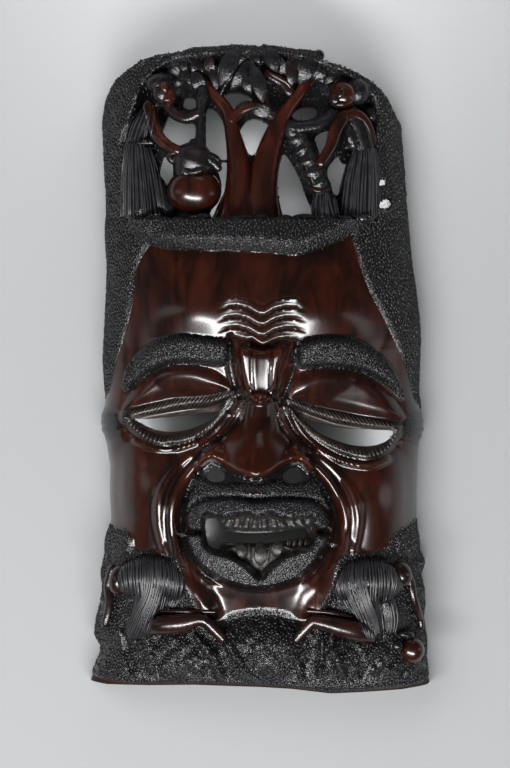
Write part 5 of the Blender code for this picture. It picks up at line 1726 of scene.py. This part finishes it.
class MakeStage(bpy.types.Operator):
    """Sets the pale table, the soft lights and the camera that looks straight down"""

    bl_idname = "carved_mask.stage"
    bl_label = "Stage"

    def execute(self, context):
        scene = context.scene
        mesh = bpy.data.meshes.new("floor")
        corners = [(x * TABLE_REACH, y * TABLE_REACH, 0) for x, y in ((-1, -1), (1, -1), (1, 1), (-1, 1))]
        mesh.from_pydata(corners, [], [(0, 1, 2, 3)])
        mesh.materials.append(material_of(pale_floor))
        floor = bpy.data.objects.new("floor", mesh)
        scene.collection.objects.link(floor)
        lamps = list(LAMPS)
        for name, place, power in LEAKS:
            across = WIDE_LEAK if place[2] > LEAK_HEIGHT else NARROW_LEAK
            lamps.append((name, place, power, across, across))
        for name, place, power, wide, tall in lamps:
            light = bpy.data.lights.new(name, "AREA")
            light.shape = "RECTANGLE" if name == "key" else "ELLIPSE"
            light.energy = power
            light.size, light.size_y = wide, tall
            lamp = bpy.data.objects.new(name, light)
            lamp.location = place
            if wide > WIDE_LEAK:
                lamp.rotation_euler = (AIM - Vector(place)).to_track_quat("-Z", "Y").to_euler()
            lamp.visible_camera = False
            # The fills even out the table's tone and leave no shine on the polish
            lamp.visible_glossy = "fill" not in name
            scene.collection.objects.link(lamp)
        world = bpy.data.worlds.new("pale_room")
        world.use_nodes = True
        plug(world.node_tree, world.node_tree.nodes["Background"], {
            "Color": (0.9, 0.92, 0.95, 1), "Strength": 0.05})
        scene.world = world
        scene.view_settings.view_transform = "Standard"
        lens = bpy.data.cameras.new("camera")
        lens.sensor_width = 36.0
        lens.lens = lens.sensor_width * (CAMERA_HEIGHT - PLANE_HEIGHT) / PLANE_SPAN
        lens.clip_end = 50.0
        camera = bpy.data.objects.new("camera", lens)
        across, up = VIEW_MIDDLE
        camera.location = (across * MM, (up - DRAWN_HEIGHT / 2) * MM, CAMERA_HEIGHT)
        scene.collection.objects.link(camera)
        scene.camera = camera
        return {"FINISHED"}


class MaskPanel(bpy.types.Panel):
    """Lists the pieces of the mask"""

    bl_idname = "VIEW3D_PT_carved_mask"
    bl_label = "Carved mask"
    bl_space_type = "VIEW_3D"
    bl_region_type = "UI"
    bl_category = "Carved mask"

    def draw(self, context):
        for group in (context.scene.mask_sizes, context.scene.mask_colours):
            for name in group.__annotations__:
                self.layout.prop(group, name)
        for operator in OPERATORS:
            self.layout.operator(operator.bl_idname)


OPERATORS = (MakeFace, MakeCrown, MakeFigures, MakeLashes, MakeStrands, MakePellets, MakeStage)
CLASSES = (MaskSizes, MaskColours, *OPERATORS, MaskPanel)


def register():
    for cls in CLASSES:
        bpy.utils.register_class(cls)
    bpy.types.Scene.mask_sizes = PointerProperty(type=MaskSizes)
    bpy.types.Scene.mask_colours = PointerProperty(type=MaskColours)


def unregister():
    del bpy.types.Scene.mask_colours
    del bpy.types.Scene.mask_sizes
    for cls in reversed(CLASSES):
        bpy.utils.unregister_class(cls)


def main():
    register()
    bpy.ops.carved_mask.face()
    bpy.ops.carved_mask.crown()
    bpy.ops.carved_mask.figures()
    bpy.ops.carved_mask.lashes()
    bpy.ops.carved_mask.strands()
    bpy.ops.carved_mask.pellets()
    bpy.ops.carved_mask.stage()


if __name__ == "__main__":
    main()
